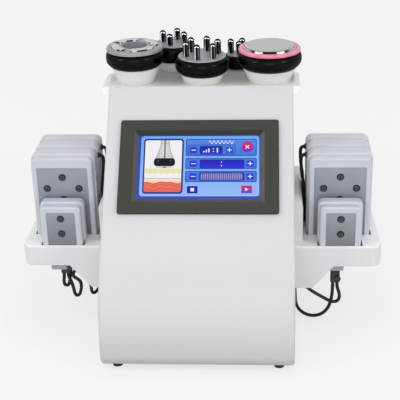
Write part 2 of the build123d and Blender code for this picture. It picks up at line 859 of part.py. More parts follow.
# Laser pads: a rear shell, a smaller front shell and a window plate with its diodes
pads = [
    (f"large_pad_{number + 1}", front, large_pad_width, large_pad_height, pad_corner)
    for number, front in enumerate(large_fronts)
]
pads.append(("small_pad", small_front, small_pad_width, small_pad_height, small_pad_corner))
for name, front, width, height, corner in pads:
    small = name == "small_pad"
    middle_z = pocket_z + height / 2
    window_width = small_window_width if small else large_window_width
    window_drop = small_window_drop if small else large_window_drop
    window_height = height - window_drop - window_foot
    window_z = pocket_z + window_foot + window_height / 2
    top_of_pad = pocket_z + height
    if small:
        centre_z = top_of_pad - small_diode_drop - small_diode_pitch / 2
        diodes = [(0, centre_z - small_diode_pitch / 2), (0, centre_z + small_diode_pitch / 2)]
    else:
        centre_z = top_of_pad - diode_drop
        diodes = [
            (0, centre_z + diode_rise),
            (0, centre_z - diode_rise),
            (diode_reach, centre_z),
            (-diode_reach, centre_z),
        ]
    front_plane = Plane(origin=(pad_x, front, 0), x_dir=(1, 0, 0), z_dir=(0, -1, 0))
    with BuildPart() as case:
        with BuildSketch(front_plane.offset(-front_shell_depth)):
            with Locations((0, middle_z)):
                RectangleRounded(width, height, corner)
        extrude(amount=-rear_shell_depth)
        shell_faces = faces().filter_by(Axis.Y)
        fillet(shell_faces.edges(), pad_edge)
        with BuildSketch(front_plane):
            with Locations((0, middle_z)):
                RectangleRounded(
                    width - 2 * shell_step, height - 2 * shell_step, corner - shell_step / 2
                )
        extrude(amount=-front_shell_depth)
        fillet(faces().sort_by(Axis.Y)[0].edges(), pad_edge)
        with BuildSketch(front_plane):
            with Locations((0, window_z)):
                RectangleRounded(window_width, window_height, window_corner)
        extrude(amount=-window_recess, mode=Mode.SUBTRACT)
    with BuildPart() as window:
        with BuildSketch(front_plane.offset(-window_recess)):
            with Locations((0, window_z)):
                RectangleRounded(
                    window_width - 2 * window_play, window_height - 2 * window_play, window_corner
                )
        extrude(amount=window_recess - window_proud)
        with BuildSketch(front_plane.offset(-window_proud)):
            with Locations(*diodes):
                Circle(diode_radius)
        extrude(amount=diode_height)
    save(case, f"right_{name}_case")
    save(window, f"right_{name}_window")
    with BuildPart() as left_case:
        mirror(case.part, about=Plane.YZ)
    save(left_case, f"left_{name}_case")
    with BuildPart() as left_window:
        mirror(window.part, about=Plane.YZ)
    save(left_window, f"left_{name}_window")

# Fan behind the vent: a square frame with spokes to its hub, and a turning rotor
fan_plane = Plane(origin=(fan_x, panel_y - wall, fan_z), x_dir=(1, 0, 0), z_dir=(0, -1, 0))
rotor_length = fan_depth - fan_spoke_depth - fan_gap
with BuildPart() as fan_frame:
    with BuildSketch(fan_plane):
        RectangleRounded(fan_size, fan_size, fan_corner)
        Circle(fan_bore, mode=Mode.SUBTRACT)
    extrude(amount=fan_depth)
    with BuildSketch(fan_plane.offset(fan_depth - fan_spoke_depth)):
        Circle(fan_hub_radius)
        with PolarLocations(0, 4, 45):
            Rectangle(fan_bore + fan_corner, fan_spoke_width, align=(Align.MIN, Align.CENTER))
        Circle(fan_shaft_radius + fan_shaft_play, mode=Mode.SUBTRACT)
    extrude(amount=fan_spoke_depth)
save(fan_frame, "fan_frame")

with BuildPart() as fan_rotor:
    with BuildSketch(fan_plane.offset(fan_gap)):
        Circle(fan_hub_radius)
    extrude(amount=rotor_length - fan_gap)
    blade_span = fan_bore - fan_tip_gap
    for number in range(fan_blades):
        blade = Rot(0, 0, number * 360 / fan_blades) * Rot(fan_blade_pitch, 0, 0)
        middle = fan_plane.offset(fan_gap + (rotor_length - fan_gap) / 2)
        with Locations(middle.location * blade):
            Box(
                blade_span,
                fan_blade_width,
                fan_blade_thickness,
                align=(Align.MIN, Align.CENTER, Align.CENTER),
            )
    with BuildSketch(fan_plane.offset(fan_gap)):
        Circle(blade_span)
    extrude(amount=rotor_length - fan_gap, mode=Mode.INTERSECT)
    with BuildSketch(fan_plane.offset(rotor_length)):
        Circle(fan_shaft_radius)
    extrude(amount=fan_depth - rotor_length - fan_gap)
save(fan_rotor, "fan_rotor")

# Power inlet: flange, body, plug well with three pins and the opening for the rocker
inlet_plane = Plane(
    origin=(inlet_x, panel_y, base_z + inlet_height), x_dir=(1, 0, 0), z_dir=(0, -1, 0)
)
with BuildPart() as power_inlet:
    with BuildSketch(inlet_plane.offset(-inlet_plate)):
        RectangleRounded(inlet_width, inlet_plate_height, inlet_corner)
    extrude(amount=inlet_plate)
    with BuildSketch(inlet_plane):
        Rectangle(
            inlet_width - inlet_border - 2 * socket_play,
            inlet_plate_height - inlet_border - 2 * socket_play,
        )
    extrude(amount=inlet_body_depth)
    with BuildSketch(inlet_plane.offset(-inlet_plate)):
        with Locations((0, plug_well_rise)):
            Rectangle(plug_well_width, plug_well_height)
    extrude(amount=plug_well_depth + inlet_plate, mode=Mode.SUBTRACT)
    with BuildSketch(inlet_plane.offset(plug_well_depth - plug_pin_length)):
        with Locations((-plug_pin_pitch, plug_well_rise - plug_pin_offset)):
            Rectangle(plug_pin_thickness, plug_pin_width)
        with Locations((plug_pin_pitch, plug_well_rise - plug_pin_offset)):
            Rectangle(plug_pin_thickness, plug_pin_width)
        with Locations((0, plug_well_rise + plug_pin_offset)):
            Rectangle(plug_pin_thickness, plug_pin_width)
    extrude(amount=plug_pin_length)
    with BuildSketch(inlet_plane.offset(-inlet_plate)):
        with Locations((0, -rocker_drop)):
            Rectangle(rocker_width + 2 * rocker_play, rocker_height + 2 * rocker_play)
    extrude(amount=rocker_depth + inlet_plate, mode=Mode.SUBTRACT)
    with Locations(
        Plane(
            origin=(inlet_x, panel_y, base_z + inlet_height - rocker_drop), z_dir=(1, 0, 0)
        ).location
    ):
        Cylinder(rocker_pin_radius, rocker_width + 2 * rocker_play)
save(power_inlet, "power_inlet")

# Rocker, hung on the inlet's cross pin and tipped to its off side
rocker_z = base_z + inlet_height - rocker_drop
rocker_out = (0, cos(radians(rocker_tilt)), sin(radians(rocker_tilt)))
rocker_face = Plane(origin=(inlet_x, panel_y, rocker_z), x_dir=rocker_out, z_dir=(1, 0, 0))
with BuildPart() as power_rocker:
    with BuildSketch(rocker_face.offset(-rocker_width / 2)):
        with BuildLine():
            half = rocker_height / 2 - rocker_play
            crown = ThreePointArc(
                (rocker_pin_radius + inlet_plate, half),
                (rocker_pin_radius + inlet_plate / 2, 0),
                (rocker_pin_radius + inlet_plate, -half),
            )
            Polyline(crown @ 1, (0, -half), (-rocker_depth / 2, 0), (0, half), crown @ 0)
        make_face()
        Circle(rocker_pin_radius + rocker_pin_play, mode=Mode.SUBTRACT)
    extrude(amount=rocker_width)
save(power_rocker, "power_rocker")

# Round sockets that the handpieces' leads plug into
with BuildPart() as handpiece_sockets:
    with BuildSketch(rear_plane):
        with Locations(*socket_places):
            RegularPolygon(socket_flange, 6)
    extrude(amount=-socket_plate)
    with BuildSketch(rear_plane):
        with Locations(*socket_places):
            Circle(socket_radius)
    extrude(amount=socket_body)
    with BuildSketch(rear_plane.offset(-socket_plate)):
        with Locations(*socket_places):
            Circle(socket_radius - collar_wall)
    extrude(amount=socket_recess, mode=Mode.SUBTRACT)
save(handpiece_sockets, "handpiece_sockets")

# Inside parts on the base plate
board_y = front_y + board_inset
board_z = floor_z + standoff_height
with BuildPart() as main_board:
    with BuildSketch(Plane.XY.offset(board_z)):
        with Locations((board_x, board_y)):
            Rectangle(board_width, board_depth)
    extrude(amount=board_thickness)
    with BuildSketch(Plane.XY.offset(floor_z)):
        with Locations((board_x, board_y)):
            with GridLocations(
                board_width - 2 * standoff_margin, board_depth - 2 * standoff_margin, 2, 2
            ):
                Circle(standoff_radius)
    extrude(amount=standoff_height)
    board_top = board_z + board_thickness
    with BuildSketch(Plane.XY.offset(board_top)):
        with Locations((board_x + board_width / 4, board_y)):
            Rectangle(heat_sink_width, heat_sink_depth)
    extrude(amount=2 * heat_sink_fin)
    with BuildSketch(Plane.XY.offset(board_top)):
        with Locations((board_x + board_width / 4, board_y)):
            with GridLocations(heat_sink_pitch, 0, int(heat_sink_width / heat_sink_pitch), 1):
                Rectangle(heat_sink_fin, heat_sink_depth)
    extrude(amount=heat_sink_height)
    with BuildSketch(Plane.XY.offset(board_top)):
        with Locations((board_x - board_width / 4, board_y)):
            with GridLocations(2 * chip_size, 2 * chip_size, 2, 2):
                Rectangle(chip_size, chip_size)
    extrude(amount=chip_height)
    with BuildSketch(Plane.XY.offset(board_top)):
        with Locations((board_x, board_y + board_depth / 2 - header_depth)):
            with GridLocations(header_width + header_depth, 0, 3, 1):
                Rectangle(header_width, header_depth)
    extrude(amount=header_height)
save(main_board, "main_board")

with BuildPart() as power_supply:
    supply_y = panel_y - wall - supply_rear_gap - supply_depth / 2
    with BuildSketch(Plane.XY.offset(floor_z)):
        with Locations((supply_x, supply_y)):
            Rectangle(supply_width, supply_depth)
    extrude(amount=supply_height)
    with BuildSketch(Plane.XY.offset(floor_z + supply_height)):
        with Locations((supply_x, supply_y)):
            with GridLocations(0, supply_slot_pitch, 1, int(supply_depth / supply_slot_pitch) - 1):
                SlotOverall(supply_width / 2, supply_slot_width)
    extrude(amount=-supply_vent_depth, mode=Mode.SUBTRACT)
save(power_supply, "power_supply")

with BuildPart() as transformer:
    core_y = panel_y - wall - core_rear_gap - core_depth / 2
    with BuildSketch(Plane.XY.offset(floor_z)):
        with Locations((core_x, core_y)):
            Rectangle(core_width + 2 * core_foot, core_depth)
    extrude(amount=core_foot_height)
    with BuildSketch(Plane.XY.offset(floor_z)):
        with Locations((core_x, core_y)):
            Rectangle(core_width, core_depth)
    extrude(amount=core_height)
    with BuildSketch(Plane.XY.offset(floor_z + (core_height - coil_height) / 2)):
        with Locations((core_x, core_y)):
            RectangleRounded(coil_width, coil_depth, core_foot)
    extrude(amount=coil_height)
save(transformer, "transformer")

with BuildPart() as vacuum_pump:
    pump_y = front_y + pump_inset
    pump_axis_z = floor_z + pump_foot_height + pump_head_height / 2
    motor_start = Plane(
        origin=(pump_x, pump_y, pump_axis_z), x_dir=(1, 0, 0), z_dir=(0, 1, 0)
    )
    with BuildSketch(motor_start):
        Circle(pump_radius)
    extrude(amount=pump_length)
    with BuildSketch(motor_start):
        RectangleRounded(pump_head_width, pump_head_height, core_foot)
    extrude(amount=-pump_head_length)
    with BuildSketch(Plane.XY.offset(floor_z)):
        with Locations((pump_x, pump_y + (pump_length - pump_head_length) / 2)):
            Rectangle(pump_foot_width, pump_length + pump_head_length)
    extrude(amount=pump_foot_height)
    with BuildSketch(Plane.XY.offset(floor_z)):
        with Locations((pump_x, pump_y + pump_length / 2)):
            Rectangle(pump_radius, pump_length / 2)
    extrude(amount=pump_axis_z - floor_z)
    with BuildSketch(Plane.XY.offset(pump_axis_z)):
        with Locations((pump_x, pump_y - pump_head_length / 2)):
            with GridLocations(pump_head_width / 2, 0, 2, 1):
                Circle(pump_nipple_radius)
    extrude(amount=pump_head_height / 2 + pump_nipple_length)
save(vacuum_pump, "vacuum_pump")

# Lead glands in the rear panel
with BuildPart() as lead_glands:
    with BuildSketch(rear_plane):
        with Locations(*gland_places):
            Circle(gland_flange)
    extrude(amount=-gland_plate)
    with BuildSketch(rear_plane):
        with Locations(*gland_places):
            Circle(gland_radius)
    extrude(amount=-gland_length)
    with BuildSketch(rear_plane):
        with Locations(*gland_places):
            Circle(gland_radius)
    extrude(amount=gland_length)
save(lead_glands, "lead_glands")

# Lead clips under the wings: a tab on the apron, and the block that the leads end in
clip_top = shelf_z - apron_height
block_top = clip_top - clip_tab_height
tab_places = [(clip_x, clip_y), (-side_x - left_tab_reach, clip_y)]
block_sizes = [
    (clip_x, clip_block_height),
    (-side_x - left_block_reach, left_block_height),
]
with BuildPart() as lead_clips:
    with BuildSketch(Plane.XY.offset(clip_top)):
        with Locations(*tab_places):
            RectangleRounded(clip_tab_width, clip_tab_depth, wall)
    extrude(amount=-clip_tab_height)
    with BuildSketch(Plane.XY.offset(clip_top)):
        with Locations(*tab_places):
            Rectangle(clip_tab_width - 2 * wall, clip_tab_depth)
    extrude(amount=pocket_z - pocket_floor - clip_top)
    for across, height in block_sizes:
        with BuildSketch(Plane.XY.offset(block_top)):
            with Locations((across, clip_y)):
                RectangleRounded(clip_block_width, clip_block_depth, wall / 2)
        extrude(amount=-height)
    knob_plane = Plane(
        origin=(clip_x + clip_block_width / 4, clip_y - clip_block_depth / 2,
                block_top - 2 * clip_block_height / 3),
        x_dir=(1, 0, 0),
        z_dir=(0, -1, 0),
    )
    with BuildSketch(knob_plane):
        Circle(clip_knob_radius)
    extrude(amount=clip_knob_proud)
save(lead_clips, "lead_clips")


# Leads: straight runs joined by tangent arcs, with points chosen by hand.
# Their points are measured from the cabinet's side and front at the underside of the base plate.
def lead_points(route, side):
    """The points of a route in the machine's frame, on the right or mirrored to the left."""
    return [Vector(side * (side_x + x), front_y + y, base_z + z) for x, y, z in route]


def corner_radii(points, name):
    """The radius at each corner: 0.45 of the shorter run over the tangent of half the turn."""
    radii = []
    for before, corner, after in zip(points, points[1:], points[2:]):
        run_in = corner - before
        run_out = after - corner
        half_turn = radians(run_in.get_angle(run_out)) / 2
        radii.append(0.45 * min(run_in.length, run_out.length) / tan(half_turn))
    print(name, "radii in mm:", [round(radius, 1) for radius in radii])
    return radii


def lead_tube(points, name):
    """One lead as a round tube along its route."""
    radii = corner_radii(points, name)
    with BuildLine() as path:
        FilletPolyline(*points, radius=radii)
    middle = path.wire()
    with BuildPart() as tube:
        with BuildSketch(Plane(origin=middle @ 0, z_dir=middle % 0)):
            Circle(lead_radius)
        sweep(path=middle)
    expected = pi * lead_radius**2 * middle.length
    print(name, "length", round(middle.length, 1), "volume share", round(tube.part.volume / expected, 4))
    return tube.part


block_low = shelf_height - apron_height - clip_tab_height - clip_block_height
left_block_low = shelf_height - apron_height - clip_tab_height - left_block_height
gland_end = panel_y - front_y + gland_length
right_long_route = [
    (-gland_inset, gland_end, gland_height),
    (-gland_inset, 383.0, gland_height),
    (-31.0, 400.0, 42.0),
    (-16.0, 411.0, 29.0),
    (-1.0, 405.0, 18.0),
    (7.5, 387.0, 9.0),
    (8.5, 358.0, 2.5),
    (7.0, 318.0, -1.5),
    (8.0, 272.0, -2.0),
    (6.0, 226.0, -2.0),
    (5.5, 190.0, -1.5),
    (5.5, 165.0, 0.0),
    (9.0, 147.0, 1.0),
    (17.0, 134.0, 1.5),
    (27.5, 127.5, 2.5),
    (38.0, 124.5, 7.0),
    (46.5, 123.6, 16.5),
    (50.5, 123.6, 30.0),
    (51.8, 123.6, 44.0),
    (51.8, 123.6, block_low),
]
right_short_route = [
    (57.2, 123.6, block_low),
    (57.2, 123.6, 50.0),
    (60.2, 123.6, 42.0),
    (61.5, 123.8, 33.5),
    (58.0, 124.2, 26.5),
    (50.0, 124.8, 26.3),
    (40.0, 125.6, 32.0),
    (28.0, 126.4, 39.0),
    (17.0, 127.6, 47.0),
    (11.5, 129.0, 59.0),
    (10.2, 130.5, 74.0),
    (10.2, 130.5, shelf_height - wing_wall),
]
left_long_route = [
    (-gland_inset, gland_end, gland_height),
    (-gland_inset, 383.0, gland_height),
    (-31.0, 400.0, 46.0),
    (-17.0, 411.0, 44.0),
    (-2.0, 404.0, 44.0),
    (6.5, 386.0, 45.0),
    (7.5, 356.0, 46.0),
    (6.0, 316.0, 46.0),
    (6.5, 272.0, 45.0),
    (5.8, 228.0, 44.0),
    (6.0, 190.0, 42.0),
    (8.0, 166.0, 38.0),
    (12.5, 152.5, 34.0),
    (19.0, 144.0, 31.0),
    (26.0, 138.5, 29.0),
    (31.5, 136.0, 36.0),
    (33.5, 135.0, 46.0),
    (37.0, 134.0, 54.5),
    (41.5, 133.0, 60.0),
    (45.0, 131.8, 63.8),
    (48.3, 130.0, 66.6),
    (51.2, 128.2, 63.8),
    (51.2, 127.0, 58.6),
    (47.8, 126.6, 53.0),
    (43.8, 126.2, 48.0),
    (42.9, 125.8, 41.5),
    (43.6, 125.0, 34.5),
    (45.0, 124.0, 30.3),
    (49.4, 122.6, 30.5),
    (50.4, 122.0, 36.5),
    (50.8, 121.9, 44.0),
    (53.2, 121.9, 57.0),
    (56.4, 121.9, 64.5),
    (56.4, 121.9, left_block_low),
]
left_short_route = [
    (61.8, 121.9, left_block_low),
    (61.9, 121.9, 62.0),
    (63.2, 121.9, 54.0),
    (62.2, 122.3, 47.6),
    (57.6, 123.8, 46.6),
    (56.2, 126.2, 51.5),
    (55.8, 129.5, 58.0),
    (55.0, 133.0, 67.0),
    (54.0, 134.0, 78.0),
    (54.0, 134.0, shelf_height - pad_sink - pocket_floor),
]
link_routes = {
    "left": (-1, left_long_route, left_short_route),
    "right": (1, right_long_route, right_short_route),
}
for name, (side, long_route, short_route) in link_routes.items():
    long_lead = lead_tube(lead_points(long_route, side), f"{name} long lead")
    short_lead = lead_tube(lead_points(short_route, side), f"{name} short lead")
    with BuildPart() as link_lead:
        add(long_lead)
        add(short_lead)
    save(link_lead, f"{name}_link_lead")

# Pad leads, from the inner sides of the rear pads down into the shelf
pad_gap = pad_reach - large_pad_width / 2
lead_exit_z = large_pad_top - base_z - pad_lead_drop
pad_lead_route = [
    (pad_gap, 0, lead_exit_z),
    (13.2, 0, lead_exit_z),
    (11.0, -0.3, 205.0),
    (10.6, -0.8, 198.0),
    (11.4, -1.2, 184.0),
    (14.6, -0.8, 166.0),
    (pad_lead_reach, 0, 134.0),
    (pad_lead_reach, 0, shelf_height - wing_wall / 2),
]
for side, name in ((-1, "left"), (1, "right")):
    tubes = []
    for number, row in enumerate(lead_rows):
        route = [(x, y + row - front_y, z) for x, y, z in pad_lead_route]
        tubes.append(lead_tube(lead_points(route, side), f"{name} pad lead {number + 1}"))
    with BuildPart() as pad_leads:
        add(tubes)
    save(pad_leads, f"{name}_pad_leads")
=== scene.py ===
"""Looks for the cavitation slimming machine: a Blender add-on that is run as a script.

Everything is in the row frame: metres, +Z up, the cabinet's middle at x = 0 and y = 0, and the
feet on z = 0. The finishes count in millimetres, so that their patterns read like a drawing.
"""

import math

import bpy
from bpy.props import FloatProperty, FloatVectorProperty, PointerProperty
from mathutils import Matrix, Vector


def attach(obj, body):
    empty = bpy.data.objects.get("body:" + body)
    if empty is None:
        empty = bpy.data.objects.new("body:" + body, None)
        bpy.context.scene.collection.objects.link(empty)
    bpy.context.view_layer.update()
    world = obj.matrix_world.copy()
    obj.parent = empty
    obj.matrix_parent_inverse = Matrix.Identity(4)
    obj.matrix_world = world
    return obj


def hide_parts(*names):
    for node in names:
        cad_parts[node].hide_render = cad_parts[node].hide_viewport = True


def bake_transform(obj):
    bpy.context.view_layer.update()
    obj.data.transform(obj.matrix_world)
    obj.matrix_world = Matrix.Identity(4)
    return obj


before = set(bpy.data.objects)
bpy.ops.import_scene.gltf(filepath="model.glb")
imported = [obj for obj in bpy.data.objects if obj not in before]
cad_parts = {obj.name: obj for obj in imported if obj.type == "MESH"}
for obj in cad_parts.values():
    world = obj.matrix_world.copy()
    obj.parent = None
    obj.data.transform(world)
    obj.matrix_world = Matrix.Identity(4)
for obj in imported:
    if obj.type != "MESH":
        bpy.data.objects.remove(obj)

bl_info = {
    "name": "Slimming machine looks",
    "version": (1, 0, 0),
    "blender": (4, 5, 0),
    "location": "View3D > Sidebar > Machine",
    "description": "Finishes, leads and studio for a desk-top body treatment machine",
    "category": "Object",
}

# Places and sizes on the machine, in millimetres, that the finishes refer to
MILLIMETRES = 1000.0  # in a metre
CABINET_HALF = 120.0
FACE_MIDDLE = (-42.61, 221.09)  # y and z of the middle of the screen
FRONT_ROW = 76.1
REAR_ROW = 132.0
HEADS = {
    "vacuum": (-89.5, FRONT_ROW, 339.3),
    "six_rod": (0.0, FRONT_ROW, 328.9),
    "cavitation": (89.5, FRONT_ROW, 336.2),
    "four_rod": (-42.2, REAR_ROW, 330.8),
    "three_rod": (45.4, REAR_ROW, 314.5),
}
HEAD_REACH = 36.0  # radius that holds a head's plate
PLATE_TOP = 1.45  # height of a rod plate over its ring
CUP_RADIUS = 17.4
DISC_FLAT = 32.9  # radius of the flat face of the metal disc
ROCKER = (28.0, 59.5)  # x and z of the power rocker
INLET = (28.0, 87.5)
SOCKET_STEP = 34.0
SOCKET_Z = 243.0
PAD_X = 179.5
LARGE_DIODES = ((0.0, 198.6), (21.0, 183.0), (-21.0, 183.0), (0.0, 167.4))
SMALL_DIODES = ((0.0, 154.3), (0.0, 133.3))
PAD_ROWS = ((2, 13.1), (3, 42.1))  # number and y of the large pads with a lead of their own


def srgb(*levels):
    """A colour given as 0 to 255 values on screen, as the linear colour that a shader takes."""
    shares = [level / 255 for level in levels]
    linear = [s / 12.92 if s <= 0.04045 else ((s + 0.055) / 1.055) ** 2.4 for s in shares]
    return (*linear, 1.0)


class Value:
    """A node's output that arithmetic can be written with."""

    def __init__(self, tree, socket):
        self.tree = tree
        self.socket = socket

    def __add__(self, other):
        return self.tree.math("ADD", self, other)

    def __radd__(self, other):
        return self.tree.math("ADD", other, self)

    def __sub__(self, other):
        return self.tree.math("SUBTRACT", self, other)

    def __rsub__(self, other):
        return self.tree.math("SUBTRACT", other, self)

    def __mul__(self, other):
        return self.tree.math("MULTIPLY", self, other)

    def __rmul__(self, other):
        return self.tree.math("MULTIPLY", other, self)

    def __truediv__(self, other):
        return self.tree.math("DIVIDE", self, other)

    def __abs__(self):
        return self.tree.math("ABSOLUTE", self)


class Tree:
    """A node tree, with one method for nodes and a few shapes written as expressions."""

    def __init__(self, node_tree):
        self.tree = node_tree
        self.tree.nodes.clear()

    def feed(self, socket, value):
        if isinstance(value, Value):
            self.tree.links.new(value.socket, socket)
        else:
            socket.default_value = value

    def node(self, kind, settings=None, inputs=None, output=0):
        made = self.tree.nodes.new(kind)
        for name, value in (settings or {}).items():
            setattr(made, name, value)
        for name, value in (inputs or {}).items():
            self.feed(made.inputs[name], value)
        return Value(self, made.outputs[output])

    def math(self, operation, first, second=0.0, clamp=False):
        settings = {"operation": operation, "use_clamp": clamp}
        return self.node("ShaderNodeMath", settings, {0: first, 1: second})

    def least(self, first, second):
        return self.math("MINIMUM", first, second)

    def most(self, first, second):
        return self.math("MAXIMUM", first, second)

    def sine(self, angle):
        return self.math("SINE", angle)

    def share(self, value, start, end):
        """0 before start, 1 after end, and straight between them."""
        scaled = (value - start) / (end - start)
        return self.math("ADD", scaled, 0.0, clamp=True)

    def mix(self, factor, first, second):
        """Two colours mixed; one written as three levels is a colour on screen."""
        inputs = {0: factor, 6: first, 7: second}
        for slot, colour in inputs.items():
            if isinstance(colour, tuple) and len(colour) == 3:
                inputs[slot] = srgb(*colour)
        return self.node("ShaderNodeMix", {"data_type": "RGBA"}, inputs, output=2)

    def scaled(self, vector, factor):
        inputs = {0: vector, "Scale": factor}
        return self.node("ShaderNodeVectorMath", {"operation": "SCALE"}, inputs)

    def stretched(self, vector, factors):
        inputs = {0: vector, 1: factors}
        return self.node("ShaderNodeVectorMath", {"operation": "MULTIPLY"}, inputs)

    def noise(self, vector, scale, detail=4.0, rough=0.55):
        inputs = {"Vector": vector, "Scale": scale, "Detail": detail, "Roughness": rough}
        return self.node("ShaderNodeTexNoise", {}, inputs)

    def part(self, vector, axis):
        """A vector's x, y or z."""
        return self.node("ShaderNodeSeparateXYZ", {}, {0: vector}, output="xyz".index(axis))

    def seen(self):
        """1 for rays that come straight, or by gloss or glass, from the camera."""
        rays = [self.node("ShaderNodeLightPath", output=kind) for kind in (0, 3, 6)]
        return self.most(self.most(rays[0], rays[1]), rays[2])

    def length(self, first, second):
        return self.math("SQRT", first * first + second * second)

    def disc(self, across, up, middle, radius, soft=0.15):
        away = self.length(across - middle[0], up - middle[1])
        return self.share(away, radius + soft, radius - soft)

    def box(self, across, up, corners, radius=0.3, soft=0.15):
        """1 inside a box with rounded corners, given as left, low, right, high."""
        left, low, right, high = corners
        wide = abs(across - (left + right) / 2) - ((right - left) / 2 - radius)
        tall = abs(up - (low + high) / 2) - ((high - low) / 2 - radius)
        outside = self.length(self.most(wide, 0.0), self.most(tall, 0.0))
        inside = self.least(self.most(wide, tall), 0.0)
        return self.share(outside + inside, radius + soft, radius - soft)


class Finish(Tree):
    """A material: colours laid over one another, and sockets set to constants or fed."""

    def __init__(self, name, **constants):
        self.material = bpy.data.materials.new(name)
        self.material.use_nodes = True
        super().__init__(self.material.node_tree)
        self.surface = self.tree.nodes.new("ShaderNodeBsdfPrincipled")
        self.output = self.tree.nodes.new("ShaderNodeOutputMaterial")
        self.tree.links.new(self.surface.outputs["BSDF"], self.output.inputs["Surface"])
        for socket, value in constants.items():
            self.set(socket.replace("_", " ").title().replace("Ior", "IOR"), value)
        self.point = self.scaled(self.node("ShaderNodeTexCoord", output=3), MILLIMETRES)
        self.x, self.y, self.z = (self.part(self.point, axis) for axis in "xyz")
        self.shown = None

    def set(self, socket, value):
        self.feed(self.surface.inputs[socket], value)

    def ground(self, factor, first, second):
        """Starts the colour as a mix of two."""
        self.shown = self.mix(factor, first, second)
        self.set("Base Color", self.shown)

    def lay(self, factor, colour):
        """Lays a colour over what is shown so far."""
        self.ground(factor, self.shown, colour)

    def faces(self, axis):
        """How far the surface faces along x, y or z."""
        return self.part(self.node("ShaderNodeNewGeometry", output=1), axis)

    def wear(self, rough, height, depth, metallic=None):
        """Sets the gloss, and raises the surface by height times depth in millimetres."""
        self.set("Roughness", rough)
        if metallic is not None:
            self.set("Metallic", metallic)
        inputs = {"Distance": depth / MILLIMETRES, "Height": height}
        self.set("Normal", self.node("ShaderNodeBump", {}, inputs))
        return self.material


def give(material, *names):
    """Puts a material on CAD nodes."""
    for name in names:
        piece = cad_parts[name]
        piece.data.materials.clear()
        piece.data.materials.append(material)


def dimmed(colour, share):
    return (*(part * share for part in colour[:3]), 1.0)


def plastic(name, colour, rough, grain=0.02, shade=0.03, **constants):
    """A moulded plastic: fine grain, and broad faint changes of colour and gloss."""
    finish = Finish(name, ior=1.5, **constants)
    broad = finish.noise(finish.point, 0.011, 3.0)
    fine = finish.noise(finish.point, 1.6, 3.0, 0.6)
    finish.ground(broad, dimmed(colour, 1 - shade), colour)
    finish.wear(rough + (broad - 0.5) * 0.12 + (fine - 0.5) * 0.06, fine, grain)
    return finish


def rubber(name, colour, rough, **constants):
    """A soft rubber with a slightly dusty, fine-grained skin."""
    finish = Finish(name, ior=1.45, **constants)
    dust = finish.share(finish.noise(finish.point, 0.09, 6.0, 0.7), 0.45, 0.8)
    fine = finish.noise(finish.point, 2.4, 4.0, 0.6)
    finish.ground(dust, colour, (*(part * 1.5 + 0.002 for part in colour[:3]), 1.0))
    return finish.wear(rough + dust * 0.12 + (fine - 0.5) * 0.08, fine, 0.03)


def metal(name, colour, rough, stretch, grain=0.01):
    """A bare metal whose fine marks are stretched into brush lines."""
    finish = Finish(name, metallic=1.0)
    lines = finish.noise(finish.stretched(finish.point, stretch), 1.0, 5.0, 0.65)
    broad = finish.noise(finish.point, 0.05, 3.0)
    finish.ground(lines, dimmed(colour, 0.82), colour)
    return finish.wear(rough + (lines - 0.5) * rough * 0.8 + (broad - 0.5) * 0.06, lines, grain)


# The picture on the screen, in millimetres from the middle of the glass.
# Boxes: left, low, right, high, corner radius, upper and lower colour
SCREEN_GROUND = ((44, 66, 176), (62, 74, 186))
SCREEN_BOXES = (
    ((-74.2, -42.0, 76.2, 40.0), 3.4, (92, 172, 250), (152, 200, 252)),
    ((-73.2, -41.0, 75.2, 39.0), 3.0, (112, 170, 245), (150, 184, 246)),
    ((-70.6, -38.8, -19.6, 36.6), 4.0, (20, 46, 132), (22, 50, 140)),
    ((-17.0, 12.2, 73.0, 36.0), 2.6, (28, 66, 158), (34, 76, 170)),
    ((-16.0, 13.2, 72.0, 35.0), 2.0, (84, 134, 226), (62, 120, 216)),
    ((-14.2, 14.0, 46.0, 28.0), 2.0, (30, 70, 168), (34, 76, 172)),
    ((-13.4, 14.8, 45.2, 27.2), 1.6, (66, 118, 220), (60, 112, 216)),
    ((0.8, 14.8, 29.8, 26.0), 1.6, (20, 26, 150), (34, 40, 206)),
    ((-17.0, -5.6, 73.0, 9.6), 2.2, (24, 60, 152), (32, 72, 168)),
    ((-16.1, -4.7, 72.1, 8.7), 1.8, (66, 122, 220), (62, 116, 216)),
    ((1.0, -4.6, 57.6, 7.4), 1.8, (24, 28, 168), (36, 40, 224)),
    ((-17.0, -23.2, 73.0, -8.0), 2.2, (24, 60, 152), (32, 72, 168)),
    ((-16.1, -22.3, 72.1, -8.9), 1.8, (66, 122, 220), (62, 116, 216)),
    ((1.0, -21.2, 57.6, -10.0), 1.8, (22, 30, 160), (30, 40, 190)),
    ((-14.2, -38.2, -0.8, -28.4), 0.8, (24, 30, 196), (18, 24, 150)),
    ((53.8, -38.0, 67.2, -27.8), 0.8, (214, 26, 66), (88, 58, 224)),
    ((34.0, 16.4, 42.8, 24.6), 0.8, (40, 66, 220), (34, 58, 212)),
)
BUTTONS = ((-7.2, 20.5), (-7.2, 1.9), (64.8, 1.9), (-7.2, -15.5), (64.8, -15.5))
MINUS_SIGNS = ((-6.9, 20.55), (-6.9, 1.95), (-6.9, -15.45))
PLUS_SIGNS = ((38.4, 20.65), (64.8, 1.95), (64.8, -15.45))
SCREEN_SIGNS = (
    (28.0, 3.2, 29.4, 4.6),
    (28.0, -1.6, 29.4, -0.2),
    (5.2, 17.4, 6.8, 19.4),
    (8.4, 17.4, 10.0, 21.0),
    (11.6, 17.4, 13.2, 22.8),
    (17.4, 17.9, 18.8, 19.3),
    (17.4, 21.5, 18.8, 22.9),
    (22.4, 17.2, 24.0, 23.6),
    (-9.7, -35.5, -5.3, -31.1),
)
LEVEL_BARS = (2.8, -19.8, 55.8, -11.4)
BAR_STEP = 2.65
CROSS = (61.1, 24.8)
PICTURE_DROP = 1.6
PICTURE_BOX = (-68.7, -36.2, -21.8, 34.2)
